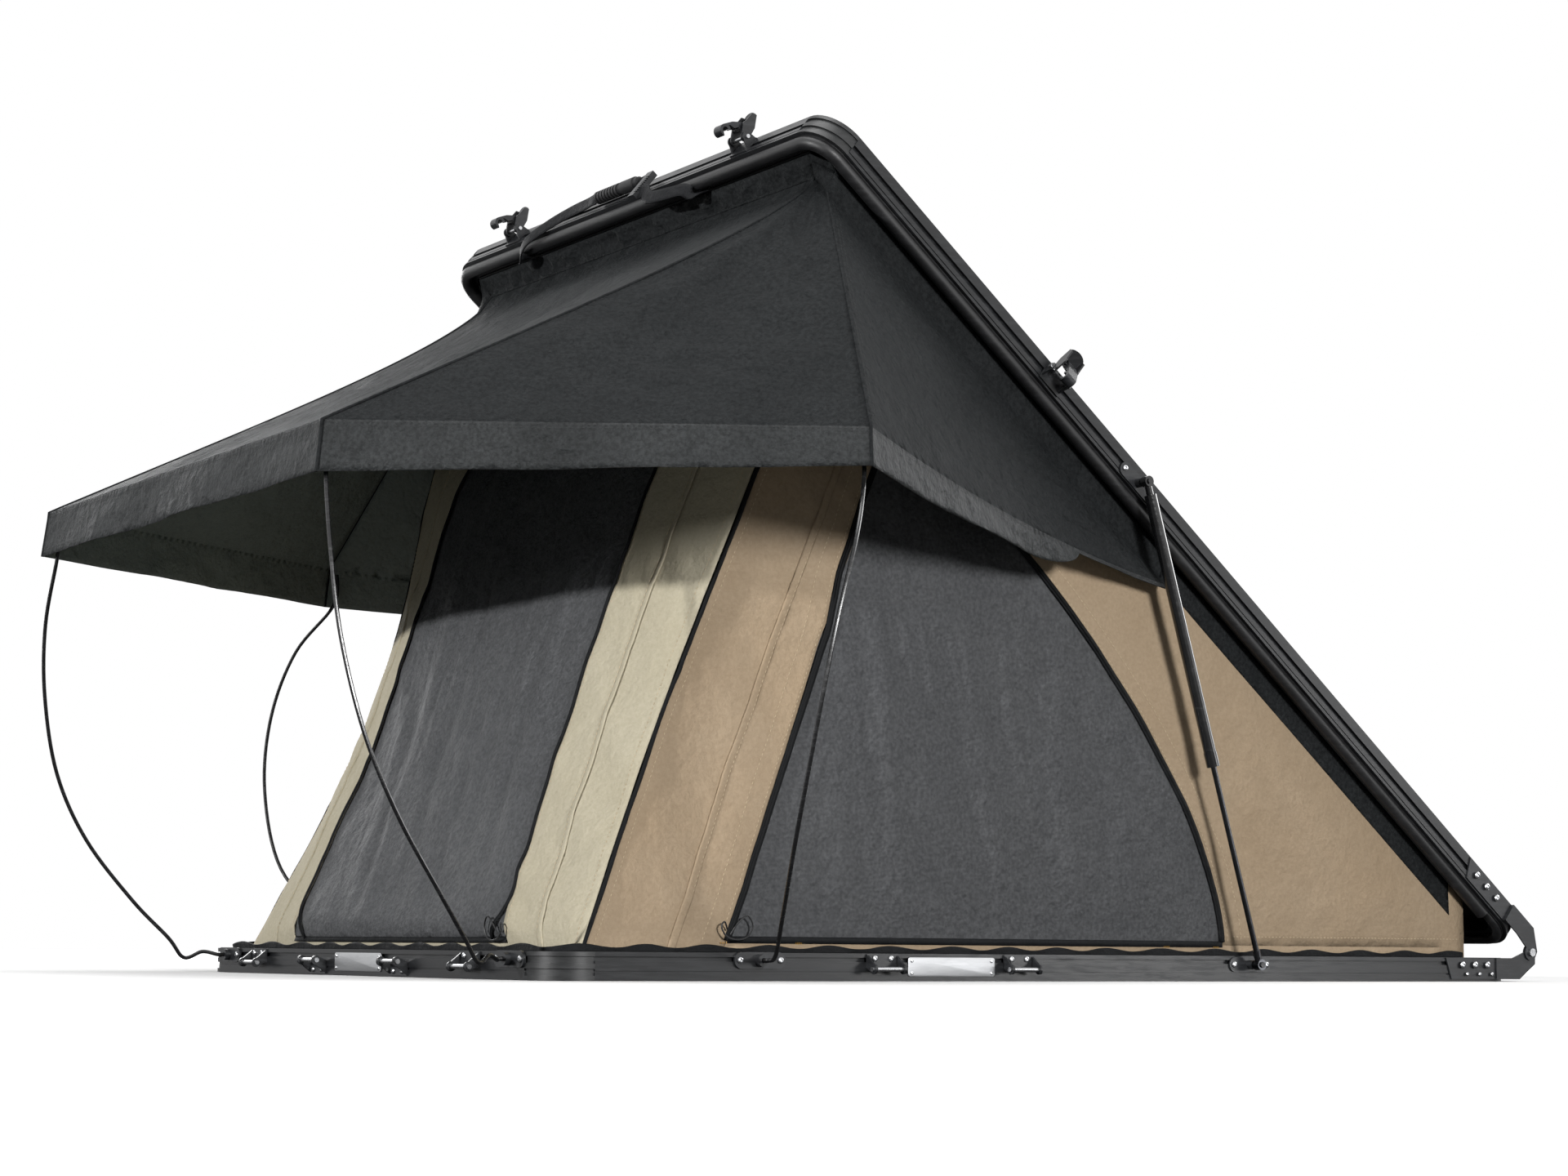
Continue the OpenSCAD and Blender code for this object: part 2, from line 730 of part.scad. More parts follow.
hook_open_angle = hook_shut_angle + hook_turn;

module at_latch(place) {
    open_lid() {
        if (place == "front_left") on_front(-latch_x) children();
        if (place == "front_right") on_front(latch_x) children();
        if (place == "side_left") on_left(side_fit_y) children();
        if (place == "side_right") on_right(side_fit_y) children();
    }
}
latch_places = ["front_left", "front_right", "side_left", "side_right"];

module latch_base() {
    low = lid_z + 4;
    high = top_z - 4;
    plate_out(fitting_t) translate([-latch_w / 2, low]) square([latch_w, high - low]);
    for (s = [-1, 1])
        translate([0, s * (latch_w / 2 - latch_cheek_t), 0])
            difference() {
                plate_across(latch_cheek_t) {
                    polygon([[0, low + 4], [latch_pivot_out, latch_pivot_z - 9], [latch_pivot_out,
                        latch_pivot_z + 9], [0, high]]);
                    translate([latch_pivot_out, latch_pivot_z]) circle(r = 9);
                }
                translate([latch_pivot_out, 0, latch_pivot_z]) pin_across(latch_pin_d + 2 * fit_gap,
                    latch_w);
            }
}
module latch_bases() { color("#222326") for (p = latch_places) at_latch(p) latch_base(); }
module latch_pins() {
    color("#c9cbce")
        for (p = latch_places) at_latch(p)
            translate([latch_pivot_out, 0, latch_pivot_z]) pin_across(latch_pin_d, latch_w + 4);
}

// Lever: two cheeks from the lever pivot past the hook pivot, joined by a thumb pad
module latch_lever() {
    end = latch_arm + 24;
    pad_t = 3;
    pad_low = hook_back + 1.5;
    translate([latch_pivot_out, 0, latch_pivot_z])
        rotate([0, -latch_open_angle, 0]) {
            for (s = [-1, 1])
                translate([0, s * (lever_half - latch_cheek_t / 2), 0])
                    difference() {
                        plate_across(latch_cheek_t) {
                            circle(r = 8);
                            translate([latch_arm, 0]) circle(r = 8);
                            polygon([[0, -8], [latch_arm, -8], [end, 6], [end, pad_low + pad_t],
                                [latch_arm, pad_low + pad_t], [0, 8]]);
                        }
                        pin_across(latch_pin_d + 2 * turn_gap, latch_w);
                    }
            difference() {
                translate([latch_arm, 0, pad_low]) {
                    translate([0, -lever_half, 0]) cube([20, 2 * lever_half, pad_t]);
                    translate([20, 0, 0]) scale([0.62, 1, 1]) cylinder(r = lever_half, h = pad_t);
                }
                translate([-end, -latch_w, -latch_w]) cube([end, 2 * latch_w, 2 * latch_w]);
            }
            translate([latch_arm, 0, 0]) pin_across(latch_pin_d - 1, 2 * lever_half);
        }
}

// Hook: an eye round the lever's pin, an arm and a claw that curls round the keeper pin
module latch_hook() {
    grip_r = hook_grip_r;
    claw = hook_claw;
    eye_r = 7;
    translate([hook_pivot[0], 0, hook_pivot[1]])
        rotate([0, -hook_open_angle, 0])
            difference() {
                plate_across(2 * hook_half) {
                    circle(r = eye_r);
                    difference() {
                        union() {
                            polygon([
                                [0, -eye_r], [hook_reach - grip_r - 14, -1], [hook_reach - grip_r - 6,
                                    grip_r + 1], [hook_reach, grip_r],
                                [hook_reach, grip_r + claw], [hook_reach - 18, hook_back], [0, eye_r]
                            ]);
                            translate([hook_reach, 0]) circle(r = grip_r + claw);
                        }
                        translate([hook_reach, 0]) circle(r = grip_r);
                        translate([hook_reach - 30, -40]) square([30 + 0.87 * grip_r, 40]);
                    }
                    polygon([[0, -eye_r], [hook_reach - 28, -3], [hook_reach - 28, 4], [0, eye_r]]);
                }
                pin_across(latch_pin_d - 1 + 2 * turn_gap, latch_w);
            }
}
module latch_lever_front_left() { color("#1b1c1e") at_latch("front_left") latch_lever(); }
module latch_lever_front_right() { color("#1b1c1e") at_latch("front_right") latch_lever(); }
module latch_lever_side_left() { color("#1b1c1e") at_latch("side_left") latch_lever(); }
module latch_lever_side_right() { color("#1b1c1e") at_latch("side_right") latch_lever(); }
module latch_hook_front_left() { color("#1b1c1e") at_latch("front_left") latch_hook(); }
module latch_hook_front_right() { color("#1b1c1e") at_latch("front_right") latch_hook(); }
module latch_hook_side_left() { color("#1b1c1e") at_latch("side_left") latch_hook(); }
module latch_hook_side_right() { color("#1b1c1e") at_latch("side_right") latch_hook(); }

// Closed sheet of even thickness through a grid of points
function grid_normal(g, i, j) =
    let (m = len(g) - 1, n = len(g[0]) - 1)
    unit(cross(g[min(i + 1, m)][j] - g[max(i - 1, 0)][j], g[i][min(j + 1, n)] - g[i][max(j - 1, 0)]));

module sheet(g, t) {
    m = len(g);
    n = len(g[0]);
    upper = [for (i = [0 : m - 1], j = [0 : n - 1]) g[i][j] + grid_normal(g, i, j) * t / 2];
    lower = [for (i = [0 : m - 1], j = [0 : n - 1]) g[i][j] - grid_normal(g, i, j) * t / 2];
    k = m * n;
    skin = [for (i = [0 : m - 2], j = [0 : n - 2]) let (a = i * n + j) each [[a, a + 1, a + n], [a + 1,
        a + n + 1, a + n]]];
    rim = concat(
        [for (j = [0 : n - 2]) [j, j + 1]],
        [for (i = [0 : m - 2]) [i * n + n - 1, (i + 1) * n + n - 1]],
        [for (j = [n - 2 : -1 : 0]) [(m - 1) * n + j + 1, (m - 1) * n + j]],
        [for (i = [m - 2 : -1 : 0]) [(i + 1) * n, i * n]]
    );
    polyhedron(
        concat(upper, lower),
        concat(
            skin,
            [for (f = skin) [f[2] + k, f[1] + k, f[0] + k]],
            [for (e = rim) each [[e[1], e[0], e[0] + k], [e[1], e[0] + k, e[1] + k]]]
        )
    );
}

// Round bar swept along points
module bar(points, d, sides) {
    n = len(points);
    rings = [for (i = [0 : n - 1])
        let (
            along = unit(points[min(i + 1, n - 1)] - points[max(i - 1, 0)]),
            side = unit(cross(along, abs(along[0]) < 0.8 ? [1, 0, 0] : [0, 1, 0])),
            up = cross(side, along)
        )
        for (s = [0 : sides - 1]) points[i] + d / 2 * (cos(360 * s / sides) * side + sin(360 * s / sides)
            * up)];
    polyhedron(rings, concat(
        [[for (s = [0 : sides - 1]) s]],
        [for (i = [0 : n - 2], s = [0 : sides - 1])
            let (a = i * sides + s, b = i * sides + (s + 1) % sides)
            each [[a, a + sides, b], [b, a + sides, b + sides]]],
        [[for (s = [sides - 1 : -1 : 0]) (n - 1) * sides + s]]
    ));
}

// Smooth curve through points, with the given number of steps in each span
function curve_point(a, b, c, d, t) =
    0.5 * (2 * b + (c - a) * t + (2 * a - 5 * b + 4 * c - d) * t * t + (3 * b - a - 3 * c + d) * t * t * t);
function curve(p, steps) =
    let (n = len(p) - 1)
    concat(
        [for (i = [0 : n - 1], s = [0 : steps - 1])
            curve_point(p[max(i - 1, 0)], p[i], p[i + 1], p[min(i + 2, n)], s / steps)],
        [p[n]]
    );

// Canopy: its head runs along the track inside the lid, its hem between the rod ends
head_drop = cloth_t * 0.6;
side_head_drop = cloth_t * 0.5;
head_y = -inner_y + track_t / 2;
head_z_shut = track_low - head_drop;
head_x = inner_x - track_t / 2;
corner_cut = 30;
seam_gap = 2;
hem_y = -half_l - canopy_reach;
wing_y = -half_l + wing_back;
tail_y = track_rear - 80;
band_in = 39;
band_drop = 15;
band_fold = 11;
corner_back = 54;
band_x = wall_x + cloth_t + 3;
canopy_rows = 8;
canopy_cols = 12;
fold_count = 5;
fold_depth = 7;

// Lines of the band: along the track, and along the seam that the panels start from
function track_front(x) = opened([x, head_y, head_z_shut]);
function head_front(x) = opened([x, head_y + band_in, head_z_shut - band_drop]);
function track_side(y) = opened([head_x, y, track_low - side_head_drop]);
function band_side(y, drop) = opened([band_x, y, track_low - drop]);
function head_side(y) = band_side(y, band_h);
front_corner = [canopy_half, hem_y, canopy_front_z];
side_corner = [wing_half, wing_y, wing_z];
tail_corner = opened([band_x + 32, tail_y, track_low - band_h - 20]);
wing_bow = 1.6;

// Point on the hem, drawn in towards its first end by a bow above 1
function hem_point(a, b, u, bow) = [lerp(a[0], b[0], pow(u, bow)), lerp(a[1], b[1], u), lerp(a[2], b[2],
    u)];

// Rows of a panel: its band, then from head to hem, then the valance under the hem
function panel(bands, head_a, head_b, hem_a, hem_b, drop_a, drop_b, outward, bow = 1) =
    concat(
        [for (row = bands) [for (j = [0 : canopy_cols]) lerp(row[0], row[1], j / canopy_cols)]],
        [for (i = [0 : canopy_rows]) [for (j = [0 : canopy_cols])
            let (v = i / canopy_rows, u = j / canopy_cols)
            lerp(lerp(head_a, head_b, u), hem_point(hem_a, hem_b, u, bow), v)
                - [0, 0, canopy_sag * sin(180 * v) * sin(180 * u) * (1 + 0.2 * cos(720 * u))]]],
        [for (k = [1, 2]) [for (j = [0 : canopy_cols])
            let (u = j / canopy_cols)
            hem_point(hem_a, hem_b, u, bow) - [0, 0, lerp(drop_a, drop_b, u) * k / 2]
                + outward * (fold_depth * k / 2 * sin(180 * u) * cos(360 * fold_count * u / 2))]]
    );

band_half = head_x - corner_cut;
seam_half = band_half - 15;
fold_y = head_y + (corner_cut + corner_back) / 2;
module canopy_front() {
    corner = front_corner - [seam_gap, 0, 0];
    color("#191a1b")
        sheet(panel(
            [[track_front(band_half), track_front(-band_half)]],
            head_front(seam_half), head_front(-seam_half), corner, flip(corner, -1),
            valance_h, valance_h, [0, -1, 0]), cloth_t);
}

module canopy_corner() {
    outer = track_front(band_half + seam_gap);
    inner = head_front(seam_half + seam_gap);
    sheet(panel(
        [
            [track_side(head_y + corner_cut), outer],
            [band_side(fold_y, band_fold), lerp(outer, inner, 0.3)]
        ],
        head_side(head_y + corner_back), inner,
        side_corner + [0, -seam_gap, 0], front_corner + [seam_gap, 0, 0],
        wing_valance_h, valance_h, unit([1, -1, 0])), cloth_t);
}
module canopy_corner_right() { color("#191a1b") canopy_corner(); }
module canopy_corner_left() { color("#191a1b") mirror([1, 0, 0]) canopy_corner(); }

module canopy_side() {
    sheet(panel(
        [
            [track_side(tail_y), track_side(head_y + corner_cut + seam_gap)],
            [band_side(tail_y, band_fold), band_side(fold_y + seam_gap, band_fold)]
        ],
        head_side(tail_y), head_side(head_y + corner_back + seam_gap),
        tail_corner, side_corner + [0, seam_gap, 0],
        valance_h / 4, wing_valance_h, [1, 0, 0], wing_bow), cloth_t);
}
module canopy_side_right() { color("#191a1b") canopy_side(); }
module canopy_side_left() { color("#191a1b") mirror([1, 0, 0]) canopy_side(); }

// Sprung rods: a cranked foot in the socket, a bow outwards, the tip inside the hem
rod_tip_drop = 14;
rod_foot_out = fitting_t + 4;
// Points of the bows: shares of the canopy's reach and height
function front_bow(x, reach, rise) = [socket_x + x, -half_l - reach * canopy_reach, rise * canopy_front_z];
function side_bow(reach, y, rise) = [half_w + reach * wing_out, side_socket_y - y, rise * wing_z];
front_rod_route = [
    [socket_x, -half_l - rod_foot_out, socket_z],
    [socket_x, -half_l - socket_out - 2, socket_z],
    [socket_x, -half_l - socket_out - 12, socket_z],
    [socket_x + 20, -half_l - 48, socket_z + 5],
    [socket_x + 38, -half_l - 76, socket_z - 6],
    [socket_x + 48, -half_l - 104, socket_z + 30],
    front_bow(88, 0.447, 0.1562), front_bow(122, 0.6704, 0.2885), front_bow(124, 0.8324, 0.4327),
    front_bow(106, 0.933, 0.601), front_bow(84, 0.9665, 0.7572),
    [canopy_half - 6, hem_y + 14, canopy_front_z - valance_h],
    [canopy_half - 12, hem_y + 16, canopy_front_z - rod_tip_drop]
];
side_rod_route = [
    [half_w + rod_foot_out, side_socket_y, socket_z],
    [half_w + socket_out + 2, side_socket_y, socket_z],
    [half_w + socket_out + 12, side_socket_y, socket_z],
    [half_w + 62, side_socket_y - 10, socket_z + 8],
    side_bow(0.4967, 56, 0.1217), side_bow(0.8675, 110, 0.2494), side_bow(1.0927, 120, 0.4501),
    side_bow(1.1722, 100, 0.6448), side_bow(1.1325, 56, 0.8029),
    [wing_half - 20, wing_y + 2, wing_z - valance_h + 6],
    [wing_half - 28, wing_y + 4, wing_z - rod_tip_drop]
];
rod_steps = 2;
rod_sides = 8;
module front_rod() { bar(curve(front_rod_route, rod_steps), rod_d, rod_sides); }
module side_rod() { bar(curve(side_rod_route, rod_steps), rod_d, rod_sides); }
module awning_rod_front_right() { color("#121213") front_rod(); }
module awning_rod_front_left() { color("#121213") mirror([1, 0, 0]) front_rod(); }
module awning_rod_side_right() { color("#121213") side_rod(); }
module awning_rod_side_left() { color("#121213") mirror([1, 0, 0]) side_rod(); }

// Pull handle on the lid's front: X out of the lid, Y along its edge, Z up, with the lid shut
grip_out = grip_d / 2 + 3;
grip_z = lid_z + lid_h / 2;
handle_y = grip_l / 2 + 34;
handle_w = 20;
handle_t = 12;
handle_top = grip_z + 10;
strap_t = 2.5;
strap_left_route = [
    [grip_out, -grip_l / 2 - 0.5, grip_z], [grip_out, -grip_l / 2 - 8, grip_z],
    [grip_out, -grip_l / 2 - 18, grip_z], [grip_out - 4, -grip_l / 2 - 50, grip_z + 3], [9,
        -grip_l / 2 - 110, grip_z + 2],
    [8, -grip_l / 2 - 180, lid_z + 8], [6, -grip_l / 2 - 235, lid_z - 18], [-6, -grip_l / 2 - 264,
        lid_z - seal_gap - 18],
    [-20, -grip_l / 2 - 278, lid_z - seal_gap - 20], [-rail_d + 5, -grip_l / 2 - 281, lid_z - 14],
    [-rail_d + 5, -grip_l / 2 - 281, lid_z - 7], [-rail_d + 5, -grip_l / 2 - 281, lid_z - 0.6]
];
strap_right_route = [
    [grip_out, grip_l / 2 + 0.5, grip_z], [grip_out, grip_l / 2 + 8, grip_z],
    [grip_out, handle_y - handle_w / 2 - 8, grip_z + 2], [grip_out, handle_y - handle_w / 2 - 0.5,
        grip_z + 2]
];
loop_low = handle_top - handle_l;
strap_loop_route = [
    [grip_out - 2, handle_y + handle_w / 2 + 0.5, loop_low + 14], [grip_out - 2,
        handle_y + handle_w / 2 + 8, loop_low + 14],
    [grip_out - 2, handle_y + handle_w / 2 + 18, loop_low + 14],
    [grip_out - 6, handle_y + 55, loop_low - 8], [4, handle_y + 105, loop_low - 10], [-6, handle_y + 142,
        loop_low + 2],
    [-20, handle_y + 157, lid_z - seal_gap - 20], [-rail_d + 5, handle_y + 160, lid_z - 14],
    [-rail_d + 5, handle_y + 160, lid_z - 7], [-rail_d + 5, handle_y + 160, lid_z - 0.6]
];
function flat_ribbon(route, w) =
    let (c = curve(route, 3), n = len(c) - 1)
    [for (i = [0 : n])
        let (along = unit(c[min(i + 1, n)] - c[max(i - 1, 0)]), out = unit([1, 0, -0.4]),
            across = unit(cross(along, out)))
        [c[i] - across * w / 2, c[i] + across * w / 2]];
module at_lid_front() { open_lid() on_front(0) children(); }
module pull_strap() {
    color("#1c1d1f")
        at_lid_front() {
            sheet(flat_ribbon(strap_left_route, strap_w), strap_t);
            sheet(flat_ribbon(strap_right_route, strap_w * 0.6), strap_t);
            sheet(flat_ribbon(strap_loop_route, strap_w), strap_t);
        }
}
module strap_grip() {
    pitch = grip_l * 0.55 / grip_ribs;
    rib_d = grip_d;
    core_d = grip_d - 5;
    color("#131314")
        at_lid_front()
            translate([grip_out, -grip_l / 2, grip_z])
                rotate([-90, 0, 0]) {
                    cylinder(d = core_d, h = grip_l);
                    for (i = [0 : grip_ribs - 1]) translate([0, 0, 4 + i * pitch]) cylinder(d = rib_d,
                        h = pitch * 0.6);
                    translate([0, 0, grip_l * 0.62]) cylinder(d = rib_d, h = grip_l * 0.3);
                }
}
module strap_handle() {
    tooth = 5;
    teeth = 9;
    color("#17181a")
        at_lid_front()
            translate([grip_out - handle_t / 2, handle_y - handle_w / 2, handle_top - handle_l])
                difference() {
                    cube([handle_t, handle_w, handle_l]);
                    for (i = [0 : teeth - 1])
                        translate([handle_t - 3, handle_w - 8, 9 + i * tooth]) cube([4, 9, tooth / 2]);
                }
}

base_front_rail();
base_rear_rail();
base_left_rail();
base_right_rail();
base_corner_castings();
floor_panel();
mounting_rail_left();
mounting_rail_right();
base_hinge_plates();
hinge_bolts();
base_strut_brackets();
rod_sockets();
latch_keepers();
ladder_brackets();
bracket_pins();
mattress();
wall_skirt();
front_wall();
front_mesh();
left_wall();
left_mesh();
right_wall();
right_mesh();
rear_wall();
lid_front_rail();
lid_rear_rail();
lid_left_rail();
lid_right_rail();
lid_corner_castings();
roof_panel();
lid_seal();
canopy_track();
lid_hinge_plates();
lid_strut_brackets();
latch_bases();
latch_pins();
pull_strap();
strap_grip();
strap_handle();
canopy_front();
canopy_corner_left();
canopy_corner_right();
canopy_side_left();
canopy_side_right();
awning_rod_front_left();
awning_rod_front_right();
awning_rod_side_left();
awning_rod_side_right();
strut_rod_left();
strut_tube_left();
strut_rod_right();
strut_tube_right();
latch_lever_front_left();
latch_hook_front_left();
latch_lever_front_right();
latch_hook_front_right();
latch_lever_side_left();
latch_hook_side_left();
latch_lever_side_right();
latch_hook_side_right();
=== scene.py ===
from math import atan2, cos, pi, radians, sin, tan

import bmesh
import bpy
from mathutils import Matrix, Vector, noise


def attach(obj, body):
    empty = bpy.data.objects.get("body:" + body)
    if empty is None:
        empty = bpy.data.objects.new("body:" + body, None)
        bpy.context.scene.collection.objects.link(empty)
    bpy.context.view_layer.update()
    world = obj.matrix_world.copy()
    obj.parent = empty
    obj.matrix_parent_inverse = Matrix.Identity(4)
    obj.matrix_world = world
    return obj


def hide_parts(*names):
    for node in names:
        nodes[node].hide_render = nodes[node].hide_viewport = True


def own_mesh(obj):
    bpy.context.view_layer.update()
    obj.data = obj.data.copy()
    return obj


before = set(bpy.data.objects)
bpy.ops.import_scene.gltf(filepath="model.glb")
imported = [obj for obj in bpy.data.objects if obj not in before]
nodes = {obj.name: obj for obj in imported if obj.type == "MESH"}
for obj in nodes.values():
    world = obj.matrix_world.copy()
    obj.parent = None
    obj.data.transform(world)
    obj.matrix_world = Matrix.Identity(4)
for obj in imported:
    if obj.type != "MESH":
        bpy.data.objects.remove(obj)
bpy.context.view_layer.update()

# Sizes of the shell, in metres
HALF_L, HALF_W = 1.050, 0.658
BASE_H, FLOOR_TOP = 0.044, 0.032
LID_ANGLE = radians(39.45)
PIVOT_Y, PIVOT_Z = 1.074, 0.0545

# The two sides, the way up, and an uneven way along which no two points of a piece should tie
SIDES = ((-1, "left"), (1, "right"))
UP = Vector((0, 0, 1))
SORT_WAY = Vector((1.0, 7.31, 53.7))

# How the lid stands open
OPEN = (
    Matrix.Translation((0, PIVOT_Y, PIVOT_Z))
    @ Matrix.Rotation(-LID_ANGLE, 4, "X")
    @ Matrix.Translation((0, -PIVOT_Y, -PIVOT_Z))
)


def opened(x, y, z):
    """A point of the shut lid, with the lid open."""
    return OPEN @ Vector((x, y, z))


# Sizes of the canvas walls: CLOTH is the room that a wall has, the woven cloth in it is thinner
CLOTH = 0.003
CANVAS_T, NET_T, TAPE_T, WEBBING_T = 0.0016, 0.0008, 0.0010, 0.0022
WALL_X, WALL_LOW, SIDE_REAR = 0.6167, 0.0323, 0.945
WINDOW_LOW, WINDOW_TOP = 0.0623, 0.900
WINDOW_REAR, WINDOW_REAR_RUN, WINDOW_REAR_BEND = 0.336, 0.636, 1.57
SIDE_STRIP, STRIP_STEP, HEAD_GAP = 0.258, 0.020, 0.008
FRONT_HALF = WALL_X + CLOTH
FRONT_FOOT = -0.976
FRONT_HEAD = opened(0, -0.950, 0.032)
LEAN = atan2(FRONT_HEAD.y - FRONT_FOOT, FRONT_HEAD.z - WALL_LOW)
SLOPE_L = (Vector((0, FRONT_HEAD.y, FRONT_HEAD.z)) - Vector((0, FRONT_FOOT, WALL_LOW))).length
FRONT_OUT = Vector((0, -cos(LEAN), sin(LEAN)))
FRONT_WINDOW, FRONT_WINDOW_TAPER = 0.405, 0.070
FRONT_WINDOW_LOW, FRONT_WINDOW_TOP = 0.030, SLOPE_L - 0.194
NARROWING, SET_BACK, FULLNESS = 0.108, 0.042, 0.040
WELT_W, FELL_HALF = 0.015, 0.0052
FELL_BACK, FELL_SHARE = 0.160, 0.46
TACK_STEP = 0.0035

# The camera, and the lamps: place, aim, size and watts
CAMERA_AT, CAMERA_LENS, CAMERA_SENSOR = (4.622, -3.275, 0.052), 68.48, 36.0
CAMERA_YAW, CAMERA_PITCH, CAMERA_ROLL = radians(56.29), radians(6.88), radians(0.45)
LAMPS = {
    "front_lamp": ((0.85, -7.30, 1.74), (0.0, -1.0, 0.45), 0.20, 380),
    "right_lamp": ((6.3, -1.0, 1.7), (0.5, -0.2, 0.5), 1.2, 300),
    "top_lamp": ((0.6, -0.9, 6.0), (0.2, -0.4, 0.2), 4.5, 200),
    "left_lamp": ((-5.2, -0.2, 2.0), (-0.4, 0.0, 0.5), 2.6, 120),
    "rear_lamp": ((0.6, 5.6, 2.4), (0.0, 0.6, 0.4), 3.0, 120),
    "low_lamp": ((4.6, 3.3, 0.10), (0.66, 0.0, 0.02), 1.6, 52),
}
REFLECTED_ONLY = "low_lamp"

# The sky and the floor
SKY, SKY_STRENGTH = (0.97, 0.985, 1.0, 1), 0.05
WHITE, BLACK = (1, 1, 1, 1), (0, 0, 0, 1)
FLOOR_SIZE, FLOOR_DROP, FLOOR_FADE = 16.0, 0.0005, (1.9, 3.6)


def lerp(a, b, t):
    return a + (b - a) * t


def ease(t):
    t = min(max(t, 0.0), 1.0)
    return t * t * (3 - 2 * t)


def rise(value, start, run):
    """From 0 at the start to 1 a run further on, smoothly."""
    return ease((value - start) / run)


def inside(t, steep):
    """0 at both edges of a cloth and 1 away from them."""
    return ease(min(t, 1 - t) * steep)


def spaced(a, b, steps):
    """Even values from a to b, both ends among them."""
    return [lerp(a, b, i / steps) for i in range(steps + 1)]


def drift(a, b, c):
    """Smooth noise about zero."""
    return noise.noise(Vector((a, b, c)))


def ridge(a, b, c):
    """Noise with sharp crests."""
    return 0.5 - abs(drift(a, b, c))


# Camera and light
def set_camera():
    """The camera at the photograph's viewing angle."""
    data = bpy.data.cameras.new("photo_camera")
    data.sensor_fit, data.sensor_width, data.lens = "HORIZONTAL", CAMERA_SENSOR, CAMERA_LENS
    data.clip_start, data.clip_end = 0.05, 60.0
    camera = bpy.data.objects.new("photo_camera", data)
    bpy.context.scene.collection.objects.link(camera)
    level = Vector((cos(CAMERA_YAW), sin(CAMERA_YAW), 0))
    flat = cos(CAMERA_PITCH)
    ahead = Vector((-sin(CAMERA_YAW) * flat, cos(CAMERA_YAW) * flat, sin(CAMERA_PITCH)))
    upward = level.cross(ahead)
    right = level * cos(CAMERA_ROLL) + upward * sin(CAMERA_ROLL)
    top = upward * cos(CAMERA_ROLL) - level * sin(CAMERA_ROLL)
    turn = Matrix((right, top, -ahead)).transposed().to_4x4()
    camera.matrix_world = Matrix.Translation(CAMERA_AT) @ turn
    bpy.context.scene.camera = camera


def soft_lamp(name, place, aim, size, watts):
    data = bpy.data.lights.new(name, "AREA")
    data.shape, data.size, data.energy = "DISK", size, watts
    lamp = bpy.data.objects.new(name, data)
    bpy.context.scene.collection.objects.link(lamp)
    turn = (Vector(aim) - Vector(place)).to_track_quat("-Z", "Y").to_matrix().to_4x4()
    lamp.matrix_world = Matrix.Translation(place) @ turn
    lamp.visible_diffuse = name != REFLECTED_ONLY


def set_light():
    """The lamps, and a dim world that looks white to the camera, to metal and to glass."""
    for name, lamp in LAMPS.items():
        soft_lamp(name, *lamp)
    world = bpy.data.worlds.new("studio")
    bpy.context.scene.world = world
    world.use_nodes = True
    tree = world.node_tree
    tree.nodes.clear()
    out = tree.nodes.new("ShaderNodeOutputWorld")
    mix = tree.nodes.new("ShaderNodeMixShader")
    path = tree.nodes.new("ShaderNodeLightPath")
    seen = calc(tree, "MAXIMUM", path.outputs["Is Camera Ray"], path.outputs["Is Glossy Ray"])
    seen = calc(tree, "MAXIMUM", seen, path.outputs["Is Transmission Ray"])
    tree.links.new(seen, mix.inputs[0])
    for place, colour, strength in ((1, SKY, SKY_STRENGTH), (2, WHITE, 1.0)):
        light = tree.nodes.new("ShaderNodeBackground")
        light.inputs["Color"].default_value = colour
        light.inputs["Strength"].default_value = strength
        tree.links.new(light.outputs[0], mix.inputs[place])
    tree.links.new(mix.outputs[0], out.inputs["Surface"])
    bpy.context.scene.view_settings.view_transform = "Standard"


# Effects that finishes share
def shade(code):
    """A written colour, as the shader takes it."""
    parts = [int(code[i : i + 2], 16) / 255 for i in (1, 3, 5)]
    return tuple(c / 12.92 if c <= 0.04045 else ((c + 0.055) / 1.055) ** 2.4 for c in parts) + (1.0,)


def new_group(name, inputs, outputs):
    """A node group that takes a Vector and the named inputs, and puts out values."""
    tree = bpy.data.node_groups.new(name, "ShaderNodeTree")
    tree.interface.new_socket("Vector", in_out="INPUT", socket_type="NodeSocketVector")
    for label, value in inputs.items():
        kind = "NodeSocketVector" if isinstance(value, tuple) else "NodeSocketFloat"
        tree.interface.new_socket(label, in_out="INPUT", socket_type=kind).default_value = value
    for label in outputs:
        tree.interface.new_socket(label, in_out="OUTPUT", socket_type="NodeSocketFloat")
    return tree, tree.nodes.new("NodeGroupInput").outputs, tree.nodes.new("NodeGroupOutput").inputs


def calc(tree, operation, *values):
    node = tree.nodes.new("ShaderNodeMath")
    node.operation = operation
    for i, value in enumerate(values):
        if isinstance(value, (int, float)):
            node.inputs[i].default_value = value
        else:
            tree.links.new(value, node.inputs[i])
    return node.outputs[0]


def speckle(tree, vector, scale, detail, rough=0.5):
    node = tree.nodes.new("ShaderNodeTexNoise")
    node.inputs["Detail"].default_value = detail
    node.inputs["Roughness"].default_value = rough
    tree.links.new(vector, node.inputs["Vector"])
    if isinstance(scale, (int, float)):
        node.inputs["Scale"].default_value = scale
    else:
        tree.links.new(scale, node.inputs["Scale"])
    return node.outputs["Fac"]


